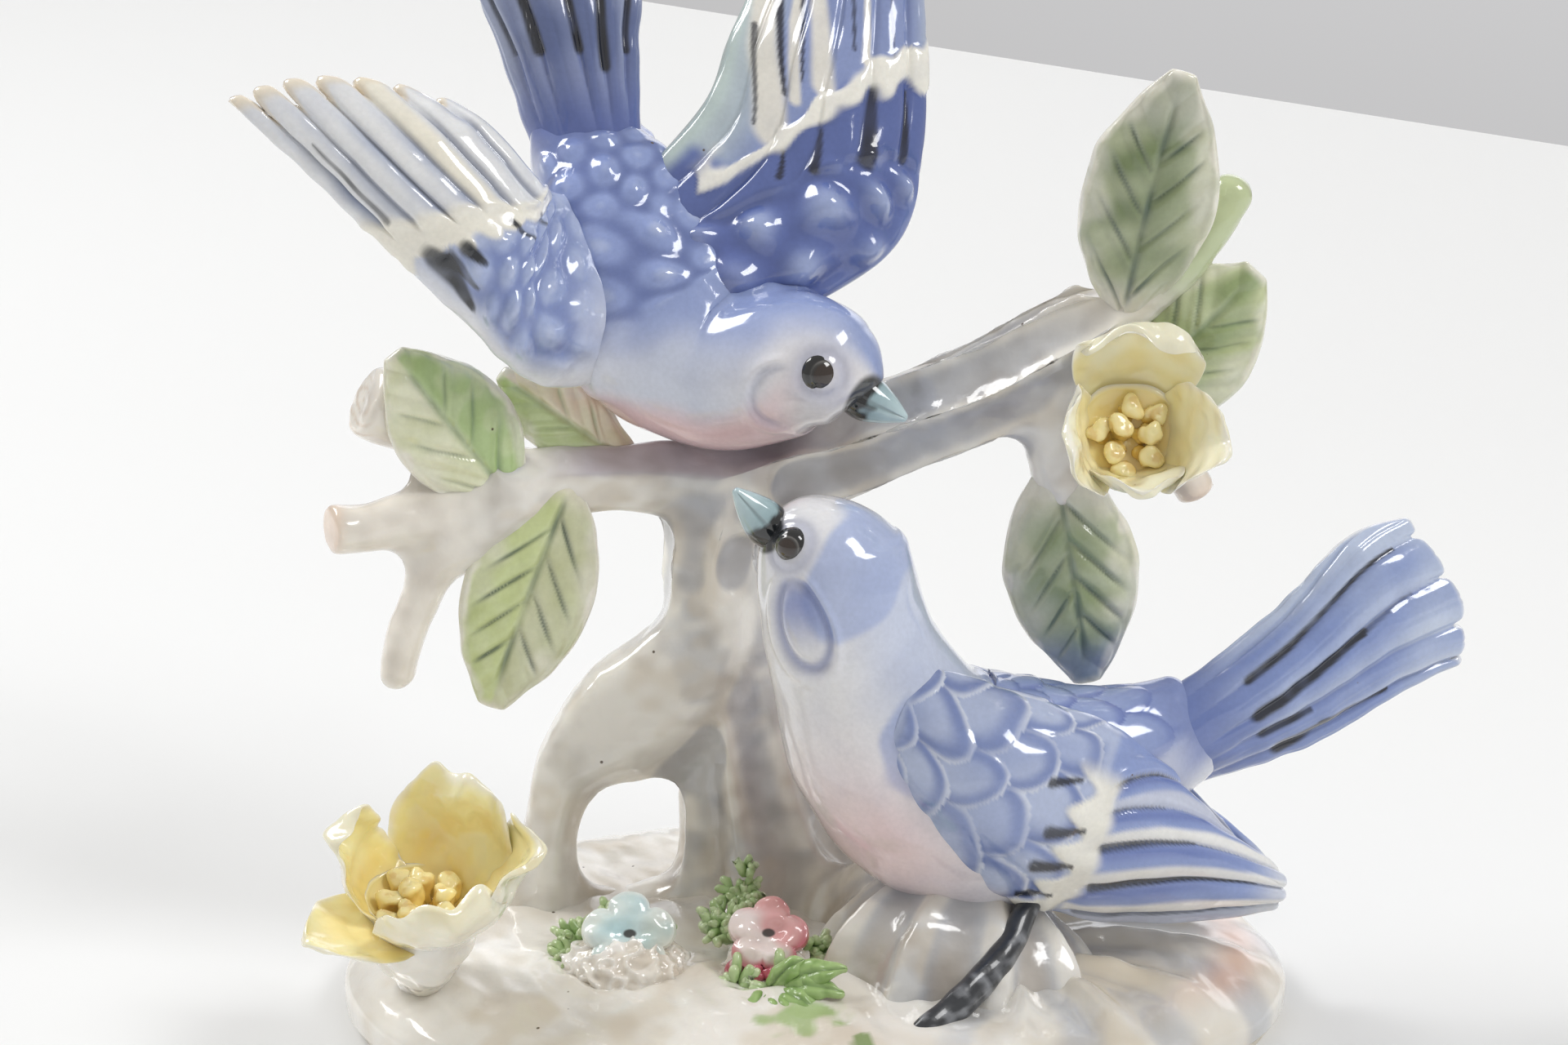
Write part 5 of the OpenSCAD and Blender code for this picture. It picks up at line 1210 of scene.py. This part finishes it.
def flowers():
    """The open flower on the right branch, four petals, and the one on the mound, five petals."""
    axis, middle = [0.08, -0.92, 0.38], [38.3, 5, 71.4]
    upper = {
        "top": (95, [[2.5, -1], [7, 1.2], [10.5, 4.5], [12.2, 7.2], [11.8, 9.4]],
               [4.5, 7, 8, 7.6, 6.2], 0.42),
        "left": (350, [[2.5, -1], [5.6, 2], [7.6, 6], [8.8, 9.5], [10.4, 11.8]],
                [3.6, 6, 6.8, 5.4, 2.4], 0.32),
        "right": (190, [[2.5, -1], [5.6, 2], [7.4, 6], [8.6, 9.5], [10.2, 12]],
                 [3.6, 6, 6.8, 5.4, 2.4], 0.32),
        "bottom": (268, [[2.5, -1], [4.8, 1.5], [6.2, 4.5], [6.8, 7], [7.4, 8.2]],
                  [3.6, 5.4, 5.8, 5.2, 3.6], 0.35),
    }
    for i, (word, (turn, profile, widths, cup)) in enumerate(upper.items()):
        grid, paint = petal(middle, axis, turn, profile, widths, cup, 100 + 7 * i, 0.8,
                            ("#fbf7de", "#f7eab0"))
        piece("upper_" + word + "_petal", [(grid + UPPER, paint)], PETAL,
              ["upper_flower_" + word + "_petal"])
    a = unit(np.array(axis))
    grid, paint = bowl(np.array(middle) - a * 4, axis, 6.5, 5.6, 0.42, 130)
    piece("upper_cup", [(grid + UPPER, paint)], PETAL, ["upper_flower_cup"])
    tuft = stamen_tuft(middle, axis, 3.7, 4.6, 8, 140)
    piece("upper_stamens", [(g + UPPER, p) for g, p in tuft], PETAL,
          ["upper_flower_stamens"])
    axis, foot = [0.08, -0.35, 0.93], np.array([-47, -13, 7.5])
    a = unit(np.array(axis))
    middle = foot + a * 11.5
    lower = {
        "back": (125, [[2.2, -1], [6.5, 2], [9.4, 7], [10, 12], [10.6, 15]],
                [4.5, 7.2, 8.2, 6.6, 2.8], 0.30),
        "right": (198, [[2.2, -1], [7, 2], [10.2, 6.5], [11.6, 11], [12.4, 13.4]],
                 [4.5, 6.6, 7.2, 6.4, 4], 0.32),
        "front": (262, [[2.2, -1], [6.4, 1.5], [9.6, 5], [10.8, 9], [10.6, 12]],
                 [4.5, 7.4, 8.2, 7.2, 4.6], 0.36),
        "left": (338, [[2.2, -1], [7, 0.2], [11.5, 1.6], [15, 2.9], [17.5, 3.6]],
                [4.5, 6.6, 6, 3.9, 1.2], 0.18),
        "side": (30, [[2.2, -1], [7, 1.5], [9.8, 5.5], [10.4, 9.4], [10, 12.6]],
                [4, 5.6, 5.6, 4.4, 2.2], 0.45),
    }
    for i, (word, (turn, profile, widths, cup)) in enumerate(lower.items()):
        grid, paint = petal(middle, axis, turn, profile, widths, cup, 160 + 7 * i, 1.0,
                            ("#f9f1c0", "#f4dd8a"))
        piece("lower_" + word + "_petal", [(grid + LOWER, paint)], PETAL,
              ["lower_flower_" + word + "_petal"])
    grid, paint = bowl(foot, axis, 14, 6.3, 0.44, 200, soil=0.9)
    piece("lower_cup", [(grid + LOWER, paint)], PETAL, ["lower_flower_cup"])
    tuft = stamen_tuft(middle - a * 0.5, axis, 4.6, 5.4, 11, 210)
    piece("lower_stamens", [(g + LOWER, p) for g, p in tuft], PETAL,
          ["lower_flower_stamens"])


# ---- small blossoms, moss and buds ----

def blossom(name, middle, width, turn, tint, shift):
    """Five-lobed star: radius times 0.72 plus 0.28 times the 0.6th power of the size of cos 2.5 a,
    fading to a round middle; a pillow-like top with a dimple, a round edge, a flat back; a dark
    dot in the middle."""
    axis = unit(np.array([0, -0.75, 0.66]))
    side = unit(np.cross(axis, (0, 0, 1)))
    up = np.cross(side, axis)
    out = np.linspace(0, 1, 44)
    rho = np.concatenate([np.linspace(0.03, 0.97, 44), 0.97 + 0.03 * np.sin(np.linspace(0, math.pi, 20)),
                          np.linspace(0.95, 0.05, 10)])
    high = np.concatenate([2.0 + 0.5 * near(out, 0.6, 0.3) - 0.25 * rise(out, 0.8, 1),
                           np.linspace(1.75, 0.3, 20), np.zeros(10)])
    rho, a = np.meshgrid(rho, np.arange(150) * 2 * math.pi / 150, indexing="ij")
    high = np.repeat(high[:, None], 150, 1)
    star = 0.72 + 0.28 * np.abs(np.cos(2.5 * (a - math.radians(turn)))) ** 0.6
    r = width / 2 * rho * (star * rho + 0.82 * (1 - rho))
    spoke = side * np.cos(a)[..., None] + up * np.sin(a)[..., None]
    grid = np.array(middle) + axis * high[..., None] + spoke * r[..., None]
    grid = grid + axis * (0.16 * wander(grid, 3, 220) - 0.25 * near(rho, 0, 0.25) * (high > 1.5)
                          - 0.3 * (high > 1.5) * rise(star, 0.8, 0.55) * rho)[..., None]
    paint = tint(rho, a, star, grid)
    dot = np.hypot(np.cos(a) * r / 0.75 + 0.2, (np.sin(a) * r - 0.3) / 0.5)
    paint = mix(paint, "#34312f", 0.95 * rise(dot, 1.25, 0.85) * (high > 1.2))
    piece(name + "_star", [(grid + shift, paint)], PORCELAIN, [name])


def heap(name, foot, width, height, shift, seed):
    """Rough heap of slip: a dome whose skin is raised by worm-like ridges, the absolute value of
    wandering turned over."""
    foot = np.array(foot, float)
    k = np.linspace(0, 1, 90)
    a = np.arange(150) * 2 * math.pi / 150
    k, a = np.meshgrid(k, a, indexing="ij")
    r = width / 2 * np.cos(k * math.pi / 2) ** 0.7 * (1 + 0.07 * np.cos(5 * a + seed))
    z = height * np.sin(k * math.pi / 2) - 1.5 * (1 - k)
    grid = foot + np.stack([r * np.cos(a), r * 0.9 * np.sin(a) - 0.5, z], -1)
    grid = grid[:-1]
    worms = 1 - 2 * np.abs(wander(grid, 3.4, seed))
    grid = lift(grid, 0.36 * np.clip(worms, -0.6, 1) + 0.15 * wander(grid, 1.6, seed + 1))
    paint = mix(coat("#f6f3ee", grid), "#d6ccbc", 0.55 * rise(worms, 0.2, -0.7))
    piece(name + "_slip", [(grid + shift, paint)], PORCELAIN, [name])


def strands(root, axis, count, length, spread, thick, seed, colours):
    """Bundle of pressed strands: each a thin sweep from the root that bends outwards, with its
    direction, length and shade drawn once from a seeded list."""
    dice = np.random.default_rng(seed)
    axis = unit(np.array(axis, float))
    level = unit(np.cross(axis, (0, 0.05, 1)))
    upward = np.cross(level, axis)
    parts = []
    for i in range(count):
        turn, far = dice.uniform(0, 6.28), math.sqrt(dice.uniform(0.02, 1))
        out = level * math.cos(turn) + upward * math.sin(turn)
        start = np.array(root) + out * spread * 0.45 * far
        tall = 0.82 * length * dice.uniform(0.75, 1.1) * (1.05 - 0.35 * far)
        bow = dice.normal(size=3) * 0.35
        path = [start, start + axis * tall * 0.45 + out * spread * 0.12 * far + bow,
                start + axis * tall * 0.85 + out * spread * 0.4 * far - bow * 0.5,
                start + axis * tall * 0.95 + out * spread * 0.75 * far]
        w = 1.25 * thick * dice.uniform(0.85, 1.15)
        grid, t, a = sweep(path, [w, w, w * 0.95, w * 0.8], [w, w, w * 0.95, w * 0.8], (0.9, 0.2, 0.4),
                           rows=9, sides=8, ends=(0, 0.2))
        c = mix(coat(colours[0], grid), colours[1], dice.uniform(0, 1) * np.ones_like(t))
        parts.append((grid, mix(c, "#dfe6c4", 0.5 * rise(t, 0.6, 1))))
    return parts


def mound_flowers():
    """Blue and pink blossoms on their heaps, moss round them, the leafy sprig and red buds."""
    blue, pink = np.array([-22, -12, 9.0]), np.array([-5, -12, 9.3])

    def pale_blue(rho, a, star, grid):
        c = mix(coat("#dfe9e6", grid), "#bfdde2", np.clip(0.4 + 0.5 * wander(grid, 6, 222), 0, 1))
        return mix(c, "#eef3ef", rise(rho, 0.85, 1.0) * 0.8)

    def blush(rho, a, star, grid):
        pink_side = rise(np.cos(a - 2.4) + 0.3 * wander(grid, 5, 223), -0.4, 0.9)
        c = mix(coat("#f3e6e4", grid), "#eaa9ac", 0.9 * pink_side)
        edge = rise(rho, 0.72, 0.95) * (0.35 + 0.65 * rise(np.sin(a), 0.35, -0.3))
        return mix(c, "#cf5f74", edge * rise(np.cos(a - 0.8), 0.85, 0.2) * 0.85)

    blossom("blue_blossom", blue + [0.3, -1.2, 4.4], 11.8, 90, pale_blue, BLUE)
    blossom("pink_blossom", pink + [0, -1.2, 4.2], 10.2, 100, blush, PINK)
    heap("blue_blossom_mound", blue + [0, -1.2, 0], 16.5, 5.4, BLUE, 230)
    heap("pink_blossom_mound", pink, 11, 5, PINK, 240)
    green = ("#9cbc78", "#c3d6a6")
    moss = (strands(blue + [-5.2, -0.5, 0], (-0.4, -0.6, 0.7), 34, 4.2, 4.4, 0.5, 301, green)
            + strands(blue + [-5.6, 2.6, 1.8], (-0.4, -0.4, 0.8), 24, 3.8, 3.6, 0.48, 302, green)
            + strands(blue + [-1.6, 3.4, 3.6], (-0.1, -0.4, 0.9), 30, 3.6, 3.8, 0.5, 303, green)
            + strands(blue + [2.4, 3.6, 3.4], (0.2, -0.4, 0.9), 20, 3.2, 3.0, 0.48, 304, green))
    piece("blue_blossom_moss_tufts", [(g + BLUE, p) for g, p in moss], MOSS,
          ["blue_blossom_moss"])
    moss = (strands(pink + [-5, 3.4, 3.4], (-0.3, -0.6, 0.8), 26, 3.8, 3.6, 0.5, 311, green)
            + strands(pink + [-3.0, 6, 6.2], (-0.1, -0.5, 0.9), 22, 3.2, 3.0, 0.5, 312, green)
            + strands(pink + [-2.6, 7.4, 9.6], (0, -0.4, 0.9), 5, 2.0, 1.4, 0.45, 313, green)
            + strands(pink + [5.6, 0.5, 1.2], (0.6, -0.5, 0.5), 20, 3.6, 3.0, 0.5, 314, green)
            + strands(pink + [-3.6, -6.2, -0.6], (-0.2, -0.8, 0.6), 26, 2.8, 4.2, 0.55, 315, green))
    piece("pink_blossom_moss_tufts", [(g + PINK, p) for g, p in moss], MOSS,
          ["pink_blossom_moss"])
    parts = []
    root = pink + [0.0, -7.0, -0.4]
    blades = ((9.5, 5.5, -2.5, 1.7), (9, 2.5, -4.0, 1.8), (6.5, 0, -6, 1.7), (2.5, -1.2, -7.5, 1.6),
              (4.5, 6.5, -1.5, 1.3), (-2.0, -1.2, -7, 1.4))
    for i, (dx, dz, dy, w) in enumerate(blades):
        tip = root + np.array([dx, dy, dz * 0.8])
        bow = np.array([0, -1.2, 1.4])
        path = [root, root + (tip - root) * 0.35 + bow, root + (tip - root) * 0.7 + bow * 0.8, tip]
        grid, t, a = sweep(path,
                           [0.9, w, w * 0.9, 0.3], [0.6, 0.8, 0.75, 0.4], (0.1, -0.7, 0.7), rows=50, sides=36,
                           cup=0.15, ends=(0, 0.04))
        grid = lift(grid, -0.35 * near(np.cos(a), 0, 0.16) * (np.sin(a) > 0) * rise(t, 0.05, 0.2)
                    + 0.15 * wander(grid, 2.4, 320 + i))
        c = mix(coat("#9dbc76", grid), "#6d8c4e", rise(np.abs(np.cos(a)), 0.35, 0.0) * 0.7)
        parts.append((grid, mix(c, "#b9cf98", 0.4 * rise(t, 0.5, 1))))
    parts += strands(root + [1.5, -0.5, 0], (0.1, -0.8, 0.6), 22, 3.0, 5.0, 0.55, 330, green)
    piece("sprig_blades", [(g + PINK, p) for g, p in parts], MOSS, ["leafy_sprig"])
    parts = []
    buds = ((-4, -3.6, 1.6, 1.1), (-1.6, -5.0, 1.4, 1.0), (0.2, -5.6, 1.6, 0.8), (1.6, -5.6, 0.6, 0.9),
            (-3.4, -5, -0.4, 0.8))
    for i, (dx, dy, dz, w) in enumerate(buds):
        low = pink + [dx, dy, dz - 1.0]
        grid, t, a = sweep([low, low + [0.2, -0.5, 1.2], low + [0.6, -1.0, 2.2]], [w, w * 1.1, w * 0.7],
                           [w, w, w * 0.7], (0, -1, 0.3), rows=26, sides=24, ends=(0.2, 0.3))
        grid = lift(grid, 0.15 * wander(grid, 1.6, 340 + i))
        paint = mix(coat("#c25a6e", grid), "#f0dcd8", 0.8 * rise(wander(grid, 2.2, 345), 0.1, 0.9))
        parts.append((grid + PINK, paint))
    piece("bud_drops", parts, PORCELAIN, ["red_buds"])


# ---- build ----

bark()
painted_twig()
mound()
leaves()
diving_body()
perched_body()
diving_near_wing()
diving_far_wing()
folded_wing(1, "perched_bird_folded_wing", "perched_bird_near_wing")
folded_wing(-1, "perched_bird_hidden_wing", "perched_bird_far_wing")
tails()
beaks()
eyes()
flowers()
mound_flowers()
# The foot plate's own shape is right, so it keeps it and is only given its bisque
for slot in nodes["base_plate"].material_slots:
    slot.material = BISQUE


# ---- table, wall, light and camera ----

def flat_panel(name, corners, colour, roughness):
    """A flat stage panel with a plain surface."""
    mesh = bpy.data.meshes.new(name)
    mesh.from_pydata(corners, [], [range(len(corners))])
    mesh.update()
    obj = bpy.data.objects.new(name, mesh)
    material = bpy.data.materials.new(name)
    material.use_nodes = True
    shader = material.node_tree.nodes["Principled BSDF"]
    shader.inputs["Base Color"].default_value = (*rgb(colour), 1)
    shader.inputs["Roughness"].default_value = roughness
    mesh.materials.append(material)
    bpy.context.scene.collection.objects.link(obj)
    return obj


low, high = cad_box
centre = Vector(((low.x + high.x) / 2, (low.y + high.y) / 2, 0))
# The table's far edge runs back to the left, with a grey wall well behind it
flat_panel("table", [(-1.6, -1.4, 0), (1.6, -1.4, 0), (1.6, -0.65, 0), (-0.042, 0.637, 0), (-1.6, 1.86, 0)],
           "#ecedee", 0.6)
flat_panel("wall", [(-4, 2.6, -1.5), (4, 2.6, -1.5), (4, 2.6, 3), (-4, 2.6, 3)], "#d4d5d9", 0.9)


def softbox(name, place, aim, size, power, colour="#ffffff"):
    """A square soft light at a place, turned towards the figurine."""
    light = bpy.data.lights.new(name, "AREA")
    light.shape = "RECTANGLE"
    light.size, light.size_y = size
    light.energy = power
    light.color = rgb(colour)
    obj = bpy.data.objects.new(name, light)
    obj.location = place
    obj.rotation_euler = (Vector(aim) - Vector(place)).to_track_quat("-Z", "Y").to_euler()
    bpy.context.scene.collection.objects.link(obj)


middle = (0.0, 0.01, 0.07)
softbox("left_box", (-0.60, 0.30, 0.74), middle, (0.42, 0.42), 5.0)
softbox("right_box", (0.58, -0.28, 0.77), middle, (0.36, 0.36), 3.7)
softbox("wall_box", (0.9, 1.7, 1.3), (0.9, 2.6, 0.3), (2.4, 0.6), 38)
world = bpy.data.worlds.new("studio")
bpy.context.scene.world = world
world.use_nodes = True
world.node_tree.nodes["Background"].inputs[0].default_value = (*rgb("#fdfaf4"), 1)
world.node_tree.nodes["Background"].inputs[1].default_value = 0.5

tilt, far = math.radians(18.0), 0.533
target = Vector((-0.003, 0.010, 0.0589))
camera_data = bpy.data.cameras.new("camera")
camera = bpy.data.objects.new("camera", camera_data)
bpy.context.scene.collection.objects.link(camera)
camera.location = target + Vector((0, -math.cos(tilt), math.sin(tilt))) * far
camera.rotation_euler = (math.pi / 2 - tilt, 0, 0)
camera_data.sensor_width = 36.0
camera_data.lens = 36.0 * far / 0.192
bpy.context.scene.camera = camera
bpy.context.scene.view_settings.view_transform = "Standard"
